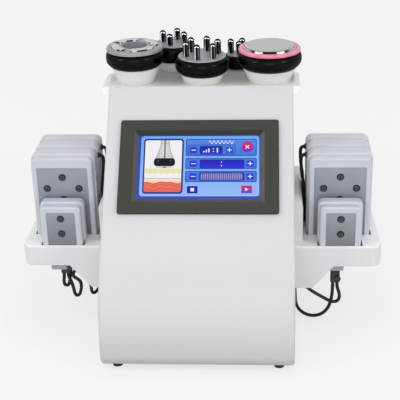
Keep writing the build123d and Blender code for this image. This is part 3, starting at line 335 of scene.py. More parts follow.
HEAD_MIDDLE = -43.6


def draw_treatment(finish, across, up):
    """The sketch in the picture box: a head over layers of tissue."""
    inner = finish.box(across, up, PICTURE_BOX, 2.4)
    finish.lay(inner, (240, 238, 240))
    ripple = finish.sine(across * 0.42) * 0.55 + finish.sine(across * 0.21 + 1.2) * 0.75

    # Layers, from the skin down
    teeth = abs(finish.sine(across * 0.40)) * 2.0
    yellow = finish.share(up, -4.5, -4.9) * finish.share(up, -12.8 + teeth, -12.4 + teeth)
    speckle = finish.noise(finish.point, 0.7, 3.0)
    finish.lay(inner * yellow, finish.mix(speckle, (214, 212, 140), (244, 244, 196)))
    dots = finish.share(finish.sine(across * 3.3), -0.25, 0.25)
    dotted = finish.share(abs(up + 18.5), 1.0, 0.7) * dots
    finish.lay(inner * dotted, (178, 84, 158))
    finish.lay(inner * finish.share(up, -20.4, -20.8), (250, 212, 150))
    flesh = finish.share(up + ripple, -23.0, -23.6)
    tissue = finish.mix(finish.share(up, -36.0, -24.0), (233, 96, 84), (238, 122, 104))
    finish.lay(inner * flesh, tissue)
    for level, shade in ((-24.2, (205, 62, 62)), (-27.4, (219, 78, 74)), (-32.6, (221, 84, 78))):
        line = finish.share(abs(up + ripple * 1.5 - level), 0.8, 0.3)
        finish.lay(inner * flesh * line, shade)

    # The head: a flared neck, a dark band and a light face
    off = abs(across - HEAD_MIDDLE)
    rise = (34.2 - up) / 24.6
    half = 5.4 + rise * rise * 6.4
    neck = finish.share(off - half, 0.15, -0.15) * finish.share(up, 8.8, 9.2) * inner
    round_off = finish.share(off / half, 0.1, 1.0)
    finish.lay(neck, finish.mix(round_off, (226, 226, 230), (196, 196, 202)))
    finish.lay(neck * finish.share(off - half, -0.7, -0.2), (104, 104, 112))
    finish.lay(neck * finish.share(off, 1.4, 0.9), (128, 128, 136))
    for level in (29.6, 15.6, 11.8):
        line = neck * finish.share(abs(up - level), 0.45, 0.2)
        finish.lay(line * 0.6, (116, 116, 124))
    finish.lay(finish.box(across, up, (-53.6, -3.8, -33.6, 0.2), 1.6), (206, 206, 212))
    finish.lay(finish.box(across, up, (-45.6, -3.6, -41.4, -2.4), 0.4), (40, 40, 46))
    gleam = finish.share(abs(off - 8.0) + abs(up - 5.6) * 0.5, 2.0, 0.3)
    band = finish.box(across, up, (-57.2, -1.4, -30.2, 9.6), 4.2)
    finish.lay(band, finish.mix(gleam * 0.7, (4, 4, 6), (90, 90, 96)))


def draw_signs(finish, across, up):
    """White signs: minus and plus on the buttons, bars, a wave line and a triangle."""
    signs = 0.0
    corners = list(SCREEN_SIGNS)
    for over, level in MINUS_SIGNS + PLUS_SIGNS:
        corners.append((over - 2.9, level - 0.55, over + 2.9, level + 0.55))
    for over, level in PLUS_SIGNS:
        corners.append((over - 0.6, level - 2.75, over + 0.5, level + 2.85))
    for sign in corners:
        signs = finish.most(signs, finish.box(across, up, sign, 0.2))
    wave = finish.share(abs(up - 31.4 - finish.sine((across - 12.5) * 1.25) * 1.7), 0.85, 0.5)
    signs = finish.most(signs, wave * finish.box(across, up, (12.5, 28.4, 43.6, 34.4), 0.2))
    triangle = finish.share(abs(up + 33.0) * 1.3 + (across - 62.8) * 0.75, 0.2, -0.2)
    signs = finish.most(signs, triangle * finish.share(across, 58.4, 58.8))
    finish.lay(signs, (240, 240, 250))


def screen_material(settings):
    """The lit touch screen: a blue control page without any words."""
    finish = Finish("lit_screen", ior=1.5, specular_ior_level=0.2, coat_roughness=0.06)
    across = finish.x
    back = finish.y - FACE_MIDDLE[0]
    up = (back + (finish.z - FACE_MIDDLE[1])) * math.sqrt(0.5) + PICTURE_DROP
    height = finish.share(up, -43.5, 43.5)
    finish.ground(height, SCREEN_GROUND[1], SCREEN_GROUND[0])
    boxes = list(SCREEN_BOXES)
    for over, level in BUTTONS:
        corners = (over - 4.4, level - 4.1, over + 4.4, level + 4.1)
        boxes.append((corners, 0.8, (36, 52, 214), (30, 44, 206)))
    for corners, radius, upper, lower in boxes:
        fade = finish.mix(finish.share(up, corners[1], corners[3]), lower, upper)
        finish.lay(finish.box(across, up, corners, radius), fade)

    # Level bars
    level = finish.box(across, up, LEVEL_BARS, 1.2)
    turns = finish.sine((across - LEVEL_BARS[0]) * (math.tau / BAR_STEP))
    ribs = finish.share(turns, -0.35, 0.35)
    finish.lay(level * ribs, finish.mix(height, (140, 132, 186), (196, 186, 208)))
    finish.lay(level * (1.0 - ribs) * 0.6, (106, 98, 176))
    draw_signs(finish, across, up)

    # Round button with a cross
    finish.lay(finish.disc(across, up, CROSS, 7.6), (104, 62, 188))
    button = finish.mix(finish.share(up, 18.8, 31.0), (112, 34, 196), (232, 34, 58))
    finish.lay(finish.disc(across, up, CROSS, 6.7), button)
    first = (across - CROSS[0] + (up - CROSS[1])) * math.sqrt(0.5)
    second = (across - CROSS[0] - (up - CROSS[1])) * math.sqrt(0.5)
    cross = finish.most(
        finish.box(first, second, (-3.2, -0.55, 3.2, 0.55), 0.3),
        finish.box(first, second, (-0.55, -3.2, 0.55, 3.2), 0.3),
    )
    finish.lay(cross, (246, 238, 246))

    draw_treatment(finish, across, up)
    pixels = finish.sine(across * 20.0) * finish.sine(up * 20.0) * 0.5 + 0.5
    finish.lay(pixels * 0.06, (0, 0, 0))
    finish.set("Emission Color", finish.shown)
    finish.set("Emission Strength", settings.screen_glow)
    finish.lay(0.3, (0, 0, 0))
    smear = finish.noise(finish.point, 0.05, 5.0, 0.7)
    finish.set("Roughness", 0.16 + smear * 0.14)
    finish.set("Coat Weight", 0.02 + smear * 0.06)
    return finish.material


def pad_window_material(name, diodes, top, low):
    """A tinted window with round diodes behind it."""
    finish = Finish(name, ior=1.5, coat_roughness=0.08)
    across = abs(finish.x) - PAD_X
    broad = finish.noise(finish.point, 0.03, 3.0)
    fine = finish.noise(finish.point, 1.4, 3.0)
    finish.ground(finish.share(finish.z, low, top), (122, 126, 134), (160, 167, 176))
    finish.lay(broad * 0.35, (112, 116, 124))
    layers = []
    for radius, shade in ((4.9, (8, 8, 12)), (2.9, (70, 72, 80)), (1.5, (16, 16, 20))):
        discs = 0.0
        for middle in diodes:
            discs = finish.most(discs, finish.disc(across, finish.z, middle, radius, 0.3))
        finish.lay(discs, shade)
        layers.append(discs)
    rims, lenses, hearts = layers
    finish.set("Coat Weight", (0.2 + broad * 0.2) * (1.0 - rims))
    return finish.wear(0.3 + (fine - 0.5) * 0.08 - lenses * 0.15, fine, 0.008)


def painted_reflections(finish):
    """Painted reflections on metal: dark and bright bands by the way the surface faces, and a
    bright line and a dark cap painted on rounded tops.
    """
    across = finish.faces("x")
    above = finish.faces("z")
    shown = finish.mix(finish.share(across, -0.90, -0.78), (30, 30, 34), (244, 244, 246))
    shown = finish.mix(finish.share(across, -0.42, -0.32), shown, (22, 22, 26))
    shown = finish.mix(finish.share(across, 0.28, 0.46), shown, (112, 111, 116))
    shown = finish.mix(finish.share(across, 0.78, 0.92), shown, (58, 58, 62))
    rise = above + abs(across) * 0.55
    dome = finish.share(above, 0.08, 0.2)
    shown = finish.mix(dome * finish.share(rise, 0.40, 0.46), shown, (240, 240, 242))
    return finish.mix(dome * finish.share(rise, 0.62, 0.70), shown, (14, 14, 18))


def rods_material():
    """Head plates with shiny metal rods standing on them, the rods coloured with painted
    reflections.
    """
    finish = Finish("rods_and_plate")
    tops = 0.0
    for head in ("six_rod", "four_rod", "three_rod"):
        x, y, z = HEADS[head]
        away = finish.length(finish.x - x, finish.y - y)
        rod = finish.share(finish.z, z + PLATE_TOP, z + PLATE_TOP + 0.2)
        tops = finish.most(tops, finish.share(away, HEAD_REACH, HEAD_REACH - 1.0) * rod)
    lines = finish.noise(finish.stretched(finish.point, (2.0, 2.0, 0.1)), 1.0, 4.0)
    finish.ground(lines, (150, 151, 158), (176, 177, 184))
    # Painted reflections: the rods' colour is bands and dome marks set by the way they face
    finish.lay(tops, painted_reflections(finish))
    gloss = 0.42 - tops * 0.27 + (lines - 0.5) * 0.08
    return finish.wear(gloss, lines, 0.01, 0.25 + tops * 0.75)


def vacuum_face_material():
    """A silvery collar round a dark cup."""
    finish = Finish("vacuum_face", ior=1.5)
    x, y = HEADS["vacuum"][:2]
    away = finish.length(finish.x - x, finish.y - y)
    cup = finish.share(away, CUP_RADIUS, CUP_RADIUS - 0.5)
    spun = finish.sine(away * 9.0) * 0.5 + 0.5
    fine = finish.noise(finish.point, 1.1, 4.0)
    finish.ground(fine, (144, 146, 151), (166, 168, 172))
    finish.lay(cup, finish.mix(fine, (128, 126, 134), (150, 148, 156)))
    gloss = 0.34 + cup * 0.12 + spun * 0.06
    return finish.wear(gloss, spun * 0.5 + fine * 0.5, 0.012, (1.0 - cup) * 0.35)


def tray_material(settings):
    """The tray: its front strip in the cabinet's colour, its dish darkened by painted shade."""
    finish = plastic("tray_white", opaque(settings.tray), 0.38, specular_ior_level=0.4)
    slope = finish.share(finish.faces("y"), -0.5, -0.6) * finish.share(finish.faces("z"), 0.5, 0.6)
    side = abs(finish.x)
    front = slope * finish.share(side, CABINET_HALF + 1.0, CABINET_HALF - 0.5)
    deep = finish.share(finish.z, 299.5, 296.5)
    inward = finish.share(finish.y, 44.0, 62.0) * finish.share(side, 122.0, 96.0)
    # Painted shade: the low floor of the dish, back from its front and in from its sides, is
    # darkened
    finish.lay(deep * inward * 0.8, (196, 192, 187))
    finish.lay(front, opaque(settings.cabinet))
    return finish.material


def electrode_material():
    """Shiny metal arcs coloured with painted reflections: bright tops, and dark and bright patches
    round the sides by the way they face.
    """
    finish = Finish("electrode_chrome", metallic=1.0)
    angle = finish.math("ARCTAN2", finish.faces("y"), finish.faces("x"))
    fine = finish.noise(finish.point, 1.4, 3.0)
    # Painted reflections: dark and bright patches by the way the sides face, and an even light grey
    # painted on the tops
    painted_reflection_patches = finish.share(finish.sine(angle * 7.0), -0.1, 0.15)
    finish.ground(painted_reflection_patches, (24, 24, 28), (238, 238, 240))
    top = finish.mix(fine, (190, 190, 191), (208, 208, 208))
    finish.lay(finish.share(finish.faces("z"), 0.80, 0.95), top)
    return finish.wear(0.18 + fine * 0.08, fine, 0.004)


def disc_material():
    """A flat metal face, turned on a lathe, with a shiny bevel coloured by painted glints and a
    dark line painted at its top edge. Counts from its own axis.
    """
    finish = Finish("turned_disc", metallic=0.75)
    away = finish.length(finish.x, finish.y)
    turned = finish.noise(finish.node("ShaderNodeCombineXYZ", {}, {0: away * 4.0}), 1.0, 3.0)
    broad = finish.noise(finish.point, 0.04, 3.0)
    finish.ground(turned, (190, 187, 186), (204, 201, 200))
    finish.lay(broad * 0.5, (182, 180, 179))
    bevel = finish.share(away, DISC_FLAT, DISC_FLAT + 0.3)
    side = abs(finish.x)
    # Painted glints: dark and bright bands across the bevel by how far it lies to the side, and a
    # painted dark line at its top edge
    painted_glints = finish.mix(finish.share(side, 8.5, 9.5), (26, 30, 30), (246, 246, 244))
    painted_glints = finish.mix(finish.share(side, 18.5, 20.0), painted_glints, (34, 38, 38))
    painted_glints = finish.mix(finish.share(side, 22.0, 27.0), painted_glints, (186, 184, 183))
    edge = finish.share(away, DISC_FLAT, DISC_FLAT + 0.2)
    edge = edge * finish.share(away, DISC_FLAT + 0.9, DISC_FLAT + 0.6)
    finish.lay(bevel, finish.mix(edge, painted_glints, (24, 28, 28)))
    return finish.wear(0.34 + turned * 0.1 - bevel * 0.2, turned, 0.006)


def light_ring_material():
    """A frosted ring with pink light in it, stronger in places. Counts from its own axis."""
    finish = Finish("pink_light_ring", ior=1.45, emission_strength=0.12)
    angle = finish.math("ARCTAN2", finish.y, finish.x)
    lamps = finish.sine(angle * 12.0) * 0.5 + 0.5
    cloud = finish.noise(finish.point, 0.12, 3.0)
    finish.ground(lamps * 0.4 + cloud * 0.4, (236, 158, 184), (232, 108, 146))
    front = finish.share(finish.y, -30.0, -40.0) * finish.share(cloud, 0.35, 0.6)
    finish.lay(front * 0.5, (240, 100, 104))
    finish.set("Emission Color", finish.shown)
    return finish.wear(0.35 + cloud * 0.15, cloud, 0.02)


def board_material():
    """A circuit board: green lacquer, copper traces, dark chips and a pale heat sink."""
    finish = Finish("circuit_board", ior=1.5)
    bricks = {
        "Vector": finish.point, "Scale": 0.12, "Mortar Size": 0.012, "Color1": srgb(20, 92, 48),
        "Color2": srgb(24, 104, 56), "Mortar": srgb(64, 138, 78),
    }
    green = finish.node("ShaderNodeTexBrick", {}, bricks)
    raised = finish.share(finish.z, 20.6, 20.9)
    tall = finish.share(finish.z, 26.0, 27.0)
    grain = finish.noise(finish.point, 0.8, 3.0)
    sink = finish.mix(grain, (150, 152, 156), (176, 178, 180))
    finish.ground(raised, green, finish.mix(tall, (30, 30, 33), sink))
    return finish.wear(0.4 + grain * 0.15, grain, 0.02, tall * 0.8)


def transformer_material():
    """Laminated steel core with a wound copper coil."""
    finish = Finish("transformer_core")
    plates = finish.sine(finish.y * 8.0) * 0.5 + 0.5
    turns = finish.sine(finish.z * 6.0) * 0.5 + 0.5
    coil = finish.share(abs(finish.y - 86.5), 17.1, 17.3)
    finish.ground(plates, (92, 92, 96), (122, 122, 126))
    finish.lay(coil, finish.mix(turns, (150, 84, 48), (196, 118, 70)))
    height = plates * (1.0 - coil) + turns * coil
    return finish.wear(0.38 + plates * 0.12, height, 0.15, 0.6 + coil * 0.3)


def pump_material():
    """A small pump: plated motor can and a black plastic head."""
    finish = Finish("pump_can")
    head = finish.share(finish.y, -50.6, -50.4)
    grain = finish.noise(finish.point, 0.6, 4.0)
    can = finish.mix(grain, (142, 144, 148), (172, 174, 178))
    finish.ground(head, (34, 34, 37), can)
    return finish.wear(0.36 + grain * 0.14, grain, 0.02, head)


def inlet_material():
    """A black mains inlet whose three blades are bare metal."""
    finish = Finish("mains_inlet", ior=1.5)
    deep = finish.share(finish.y, 171.4, 171.2) * finish.share(finish.y, 162.1, 162.3)
    hole = (-10.0, -7.0, 10.0, 7.0)
    blades = deep * finish.box(finish.x - INLET[0], finish.z - INLET[1], hole)
    grain = finish.noise(finish.point, 1.2, 4.0)
    finish.ground(grain, (26, 26, 28), (40, 40, 43))
    finish.lay(blades, (206, 200, 184))
    return finish.wear(0.42 + grain * 0.12 - blades * 0.15, grain, 0.03, blades)


def rocker_material():
    """A black rocker with a white bar at one end and a ring at the other."""
    finish = Finish("rocker_key", ior=1.5)
    over = finish.x - ROCKER[0]
    low = finish.z - ROCKER[1]
    bar = finish.box(over, low, (-0.45, 2.2, 0.45, 4.6), 0.1, 0.1)
    outer, inner = (finish.disc(over, low, (0.0, -3.3), radius, 0.1) for radius in (1.5, 1.0))
    marks = finish.most(bar, outer - inner) * finish.share(finish.y, 178.5, 178.8)
    grain = finish.noise(finish.point, 1.2, 4.0)
    finish.ground(grain, (24, 24, 26), (38, 38, 41))
    finish.lay(marks, (226, 226, 226))
    return finish.wear(0.32 + grain * 0.1, grain, 0.02)


def socket_material():
    """Plated round sockets, each with a dark insert and gilt contacts."""
    finish = Finish("handpiece_socket")
    turn = finish.math("FRACT", (finish.x + SOCKET_STEP * 2.5) / SOCKET_STEP)
    over = (turn - 0.5) * SOCKET_STEP
    rise = finish.z - SOCKET_Z
    away = finish.length(over, rise)
    insert = finish.share(away, 6.4, 6.2) * finish.share(finish.y, 174.0, 174.2)
    angle = finish.math("ARCTAN2", rise, over)
    spots = finish.share(finish.sine(angle * 4.0), 0.55, 0.75)
    spots = spots * finish.share(abs(away - 3.6), 0.8, 0.6)
    grain = finish.noise(finish.point, 0.9, 4.0)
    finish.ground(grain, (150, 151, 156), (186, 187, 192))
    finish.lay(insert, finish.mix(spots, (24, 24, 27), (206, 170, 96)))
    gloss = 0.3 + insert * 0.15 + (grain - 0.5) * 0.1
    return finish.wear(gloss, grain, 0.02, 1.0 - insert * (1.0 - spots))


def clip_material():
    """A pale tab with a dark block and knob hanging from it."""
    finish = Finish("lead_clip", ior=1.5)
    tab = finish.share(finish.z, 80.9, 81.1)
    grain = finish.noise(finish.point, 1.0, 4.0)
    finish.ground(grain, (24, 24, 27), (38, 38, 42))
    finish.lay(tab, finish.mix(grain, (156, 156, 170), (172, 172, 186)))
    return finish.wear(0.36 + grain * 0.12, grain, 0.03)


# Routes of the leads, in metres, from the cabinet's side, front and underside
LEAD_RADIUS = 0.00225
CORNER = Vector((0.1200, -0.1805, 0.0050))
RIGHT_LONG = (
    (-0.0360, 0.3685, 0.0480),
    (-0.0360, 0.3830, 0.0480),
    (-0.0310, 0.4000, 0.0420),
    (-0.0160, 0.4110, 0.0290),
    (-0.0010, 0.4050, 0.0180),
    (0.0075, 0.3870, 0.0090),
    (0.0085, 0.3580, 0.0025),
    (0.0070, 0.3180, -0.0015),
    (0.0080, 0.2720, -0.0020),
    (0.0060, 0.2260, -0.0020),
    (0.0055, 0.1900, -0.0015),
    (0.0055, 0.1650, 0.0000),
    (0.0090, 0.1470, 0.0010),
    (0.0170, 0.1340, 0.0015),
    (0.0275, 0.1275, 0.0025),
    (0.0380, 0.1245, 0.0070),
    (0.0465, 0.1236, 0.0165),
    (0.0505, 0.1236, 0.0300),
    (0.0518, 0.1236, 0.0440),
    (0.0518, 0.1236, 0.0580),
)
RIGHT_SHORT = (
    (0.0572, 0.1236, 0.0580),
    (0.0572, 0.1236, 0.0500),
    (0.0602, 0.1236, 0.0420),
    (0.0615, 0.1238, 0.0335),
    (0.0580, 0.1242, 0.0265),
    (0.0500, 0.1248, 0.0263),
    (0.0400, 0.1256, 0.0320),
    (0.0280, 0.1264, 0.0390),
    (0.0170, 0.1276, 0.0470),
    (0.0115, 0.1290, 0.0590),
    (0.0102, 0.1305, 0.0740),
    (0.0102, 0.1305, 0.1090),
)
LEFT_LONG = (
    (-0.0360, 0.3685, 0.0480),
    (-0.0360, 0.3830, 0.0480),
    (-0.0310, 0.4000, 0.0460),
    (-0.0170, 0.4110, 0.0440),
    (-0.0020, 0.4040, 0.0440),
    (0.0065, 0.3860, 0.0450),
    (0.0075, 0.3560, 0.0460),
    (0.0060, 0.3160, 0.0460),
    (0.0065, 0.2720, 0.0450),
    (0.0058, 0.2280, 0.0440),
    (0.0060, 0.1900, 0.0420),
    (0.0090, 0.1660, 0.0400),
    (0.0145, 0.1535, 0.0385),
    (0.0200, 0.1445, 0.0350),
    (0.0258, 0.1392, 0.0290),
    (0.0298, 0.1370, 0.0312),
    (0.0298, 0.1355, 0.0440),
    (0.0330, 0.1340, 0.0570),
    (0.0380, 0.1330, 0.0640),
    (0.0432, 0.1318, 0.0680),
    (0.0483, 0.1300, 0.0690),
    (0.0512, 0.1282, 0.0655),
    (0.0510, 0.1270, 0.0610),
    (0.0460, 0.1266, 0.0580),
    (0.0414, 0.1262, 0.0540),
    (0.0408, 0.1258, 0.0465),
    (0.0424, 0.1250, 0.0390),
    (0.0442, 0.1240, 0.0348),
    (0.0484, 0.1226, 0.0345),
    (0.0500, 0.1220, 0.0395),
    (0.0508, 0.1219, 0.0460),
    (0.0532, 0.1219, 0.0570),
    (0.0564, 0.1219, 0.0645),
    (0.0564, 0.1219, 0.0700),
)
LEFT_SHORT = (
    (0.0618, 0.1219, 0.0700),
    (0.0619, 0.1219, 0.0630),
    (0.0632, 0.1219, 0.0565),
    (0.0622, 0.1223, 0.0505),
    (0.0576, 0.1238, 0.0495),
    (0.0562, 0.1262, 0.0540),
    (0.0558, 0.1295, 0.0600),
    (0.0550, 0.1330, 0.0670),
    (0.0540, 0.1340, 0.0780),
    (0.0540, 0.1340, 0.0870),
)
PAD_LEAD = (
    (0.0175, 0.0000, 0.2080),
    (0.0132, 0.0000, 0.2080),
    (0.0110, -0.0003, 0.2050),
    (0.0106, -0.0008, 0.1980),
    (0.0114, -0.0012, 0.1840),
    (0.0146, -0.0008, 0.1660),
    (0.0147, 0.0000, 0.1340),
    (0.0147, 0.0000, 0.1105),
)


def route(points, side, along=0.0):
    """A route's points in the row frame, on the right side or mirrored to the left."""
    corner = CORNER + Vector((0.0, along, 0.0))
    return [Vector((side, 1.0, 1.0)) * (corner + Vector(point)) for point in points]


def added(name, data, place=None):
    """A new object in the scene, at its place."""
    made = bpy.data.objects.new(name, data)
    bpy.context.scene.collection.objects.link(made)
    if place is not None:
        made.matrix_world = place
    return made


def spline_curve(name, points, radius):
    """An open NURBS spline through a route, round in section."""
    data = bpy.data.curves.new(name, "CURVE")
    data.dimensions = "3D"
    data.bevel_depth = radius
    data.bevel_resolution = 5
    data.resolution_u = 14
    data.use_fill_caps = True
    spline = data.splines.new("NURBS")
    spline.points.add(len(points) - 1)
    for slot, point in zip(spline.points, points):
        slot.co = (*point, 1.0)
    spline.order_u = 3
    spline.use_endpoint_u = True
    return added(name, data)


def as_mesh(curve, name):
    """The evaluated curve as a mesh of its own, in place of the curve."""
    bpy.context.view_layer.update()
    seen = curve.evaluated_get(bpy.context.evaluated_depsgraph_get())
    made = added(name, bpy.data.meshes.new_from_object(seen))
    bpy.data.objects.remove(curve)
    for face in made.data.polygons:
        face.use_smooth = True
    return made


def solid(name, vertices, faces, place, material):
    data = bpy.data.meshes.new(name)
    data.from_pydata(vertices, [], faces)
    data.materials.append(material)
    return added(name, data, place)


def lathe(name, profile, place, material, sides=40, closed=False):
    """A turned piece: pairs of radius and height about local Z, closed to a ring or capped."""
    vertices = []
    faces = []
    for radius, height in profile:
        for number in range(sides):
            angle = math.tau * number / sides
            vertices.append((radius * math.cos(angle), radius * math.sin(angle), height))
    for ring in range(len(profile) if closed else len(profile) - 1):
        for number in range(sides):
            after = (number + 1) % sides
            low = ring * sides
            high = (ring + 1) % len(profile) * sides
            faces.append((low + number, low + after, high + after, high + number))
    turned = len(faces)
    if not closed:
        last = (len(profile) - 1) * sides
        faces.append(tuple(reversed(range(sides))))
        faces.append(tuple(range(last, last + sides)))
    made = solid(name, vertices, faces, place, material)
    for face in made.data.polygons[:turned]:
        face.use_smooth = True
    return made


def swept(name, sections, place, material):
    """A piece through closed sections of as many points each, capped at both ends."""
    points = len(sections[0])
    vertices = [vertex for section in sections for vertex in section]
    faces = [tuple(reversed(range(points)))]
    for number in range(len(sections) - 1):
        low = number * points
        for corner in range(points):
            after = (corner + 1) % points
            faces.append((low + corner, low + after, low + points + after, low + points + corner))
    faces.append(tuple(range(len(vertices) - points, len(vertices))))
    return solid(name, vertices, faces, place, material)


def facing(place, direction):
    """A matrix whose local Z looks along a direction."""
    turned = Vector(direction).to_track_quat("Z", "Y").to_matrix().to_4x4()
    return Matrix.Translation(place) @ turned


def belongs(piece, body, replaced=None):
    """Hangs a piece on the empty of the body it rides on, and hides the CAD node it replaces."""
    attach(piece, body)
    if replaced:
        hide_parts(replaced)


SLEEVE = (
    (0.0042, 0.0000),
    (0.0042, 0.0030),
    (0.0038, 0.0034),
    (0.0038, 0.0050),
    (0.0035, 0.0054),
    (0.0035, 0.0070),
    (0.0032, 0.0074),
    (0.0031, 0.0092),
    (0.0028, 0.0096),
    (0.0026, 0.0115),
)
GROMMET_SIDES = 28
GROMMET = (
    (0.0040, 0.0000),
    (0.0040, 0.0008),
    (0.0036, 0.0012),
    (0.0030, 0.0016),
    (0.0027, 0.0026),
)


# Treatment faces: radius and height, in metres above the rubber ring, and the arcs' places
DISC = (
    (0.0350, 0.0000),
    (0.0350, 0.0045),
    (0.0349, 0.0048),
    (0.0347, 0.0051),
    (0.0335, 0.0068),
    (0.0332, 0.0070),
    (0.0328, 0.0071),
    (0.0200, 0.0071),
)
LIGHT_RING = (
    (0.0352, 0.0000),
    (0.0409, 0.0000),
    (0.0411, 0.0024),
    (0.0406, 0.0037),
    (0.0396, 0.0044),
    (0.0384, 0.0046),
    (0.0362, 0.0046),
    (0.0356, 0.0044),
    (0.0352, 0.0038),
)
BROW_HALF = 0.1166
BROW_SUNK = 0.00012  # how far the skin's two ends dip into the cover
BROW = (  # y, z and height over the slope
    (0.0188, 0.2885, 0.00002),
    (0.0196, 0.2893, 0.00014),
    (0.0306, 0.3003, 0.00016),
    (0.0312, 0.3009, 0.00006),
    (0.0312, 0.3009, -0.0006),
    (0.0188, 0.2885, -0.0006),
)
ARC_BAND = (0.0206, 0.0316)
ARC_STARTS = (-97.0, -7.0, 83.0, 173.0)
ARC_SWEEP = 72.0
ARC_STEPS = 24
ARC_RISE = 0.0016
FACE_RISE = 0.0050
FACE_SIDES = 96


def size_setting(name, description, default):
    return FloatProperty(
        name=name, description=description, default=default, min=0.001, max=1.0, unit="LENGTH"
    )


def strength_setting(name, description, default):
    return FloatProperty(name=name, description=description, default=default, min=0.0, max=5.0)


def power_setting(name, description, default):
    return FloatProperty(
        name=name, description=description, default=default, min=0.0, max=500.0, unit="POWER"
    )


def turn_setting(name, description, default):
    return FloatProperty(
        name=name, description=description, default=math.radians(default), subtype="ANGLE"
    )


def colour_setting(name, description, *levels):
    return FloatVectorProperty(
        name=name, description=description, default=srgb(*levels)[:3], size=3, min=0.0, max=1.0,
        subtype="COLOR",
    )


class LeadSettings(bpy.types.PropertyGroup):
    """Sizes of the leads."""

    radius: size_setting("Lead radius", "Half of the thickness of every lead", LEAD_RADIUS)
    left_length: size_setting("Left lead length", "From the left gland to the left clip", 0.4684)
    right_length: size_setting(
        "Right lead length", "From the right gland to the right clip", 0.4293
    )
    left_loop: size_setting("Left loop length", "From the left clip to the shelf over it", 0.0632)
    right_loop: size_setting(
        "Right loop length", "From the right clip to the shelf beside it", 0.1419
    )
    pad_length: size_setting("Pad lead length", "From a laser pad to the shelf", 0.1025)


class FinishSettings(bpy.types.PropertyGroup):
    """Colours of the machine, and the screen's glow."""

    cabinet: colour_setting("Cabinet white", "Colour of the cabinet's mouldings", 220, 219, 221)
    wing: colour_setting("Wing white", "Colour of the two wings", 235, 234, 236)
    tray: colour_setting("Tray white", "Colour of the top tray", 249, 248, 245)
    handle: colour_setting("Handpiece white", "Colour of the handpiece shells", 236, 236, 234)
    pad: colour_setting("Pad white", "Colour of the laser pads' cases", 208, 211, 219)
    screen_glow: strength_setting("Screen glow", "Strength of the light that the screen gives", 0.3)


class StudioSettings(bpy.types.PropertyGroup):
    """Light, floor and camera."""

    sky: strength_setting("Sky strength", "Strength of the even light from all round", 0.54)
    zenith: strength_setting("Extra from above", "What the even light gains towards the top", 0.24)
    front: power_setting("Front power", "Power of the large lamp behind the camera", 21.0)
    side: power_setting("Side power", "Power of each of the two small lamps at the sides", 8.5)
    floor: colour_setting("Floor shade", "Colour of the floor", 188, 188, 188)
    lens: FloatProperty(
        name="Lens", description="Focal length for a 36 mm wide sensor",
        default=92.7, min=10.0, max=300.0, unit="CAMERA",
    )
    camera_place: FloatVectorProperty(
        name="Camera place", description="Where the camera stands",
        default=(0.0834, -1.2459, 0.721), size=3, unit="LENGTH",
    )
    camera_tip: turn_setting("Camera tip", "Turn about X from looking straight down", 65.5)
    camera_swing: turn_setting("Camera swing", "Turn about the camera's own Y", 3.61)


class MachineSettings(bpy.types.PropertyGroup):
    """All the settings of the machine's looks."""

    leads: PointerProperty(type=LeadSettings)
    finishes: PointerProperty(type=FinishSettings)
    studio: PointerProperty(type=StudioSettings)


# Studio
PALE = srgb(241, 241, 241)
FLOOR_REACH = 12.0
SQUARE = ((-1, -1), (1, -1), (1, 1), (-1, 1))
LAMP_TARGET = Vector((0.0, 0.0, 0.17))


def opaque(colour):
    return (*colour, 1.0)


class FinishCabinet(bpy.types.Operator):
    """Give the cabinet, tray, wings and feet their finishes"""

    bl_idname = "machine.finish_cabinet"
    bl_label = "Cabinet"

    def execute(self, context):
        settings = context.scene.machine.finishes
        gloss = {"coat_weight": 0.12, "coat_roughness": 0.25}
        white = plastic("cabinet_white", opaque(settings.cabinet), 0.36, **gloss)
        # Painted shade: the cabinet darker towards the bottom, most on the lower curve
        low = white.share(white.z, 140.0, 85.0) * 0.07 + white.share(white.z, 50.0, 10.0) * 0.1
        white.lay(low, (0, 0, 0))
        give(white.material, "front_cover", "left_side_panel", "right_side_panel", "base_plate",
             "rear_panel")
        pale = plastic("wing_white", opaque(settings.wing), 0.36, **gloss)
        # Painted light: the wings' upward faces lighter
        pale.lay(pale.share(pale.faces("z"), 0.5, 0.9), (250, 249, 250))
        give(pale.material, "left_wing", "right_wing")
        give(tray_material(settings), "top_tray")
        give(rubber("foot_rubber", srgb(24, 24, 26), 0.6), "feet")
        give(metal("screw_steel", srgb(186, 187, 190), 0.3, (3.0, 3.0, 3.0)), "cover_screws")
        return {"FINISHED"}


class BuildBrow(bpy.types.Operator):
    """Make the thin skin that carries the sloping front over the tray's lip"""

    bl_idname = "machine.build_brow"
    bl_label = "Brow"

    def execute(self, context):
        sections = []
        for share in (-1.0, -0.99, 0.99, 1.0):
            sunk = BROW_SUNK if abs(share) == 1.0 else 0.0
            outline = []
            for y, z, out in BROW:
                away = (out - sunk) * math.sqrt(0.5)
                outline.append((share * BROW_HALF, y - away, z + away))
            sections.append(outline)
        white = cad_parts["front_cover"].active_material
        skin = swept("brow_skin", sections, Matrix.Identity(4), white)
        belongs(skin, "root")
        return {"FINISHED"}


class FinishHandpieces(bpy.types.Operator):
    """Give the five handpieces their finishes"""

    bl_idname = "machine.finish_handpieces"
    bl_label = "Handpieces"

    def execute(self, context):
        white = opaque(context.scene.machine.finishes.handle)
        shell = plastic("handle_white", white, 0.28, coat_weight=0.25, coat_roughness=0.12)
        give(shell.material, *(f"{head}_head_shell" for head in HEADS))
        gloss = {"specular_ior_level": 0.0, "coat_weight": 0.22, "coat_roughness": 0.2}
        ring = rubber("head_ring", srgb(3, 3, 5), 0.32, **gloss)
        give(ring, *(f"{head}_head_ring" for head in HEADS))
        give(vacuum_face_material(), "vacuum_head_face")
        give(rods_material(), "six_rod_head_rods", "four_rod_head_rods", "three_rod_head_rods")
        return {"FINISHED"}


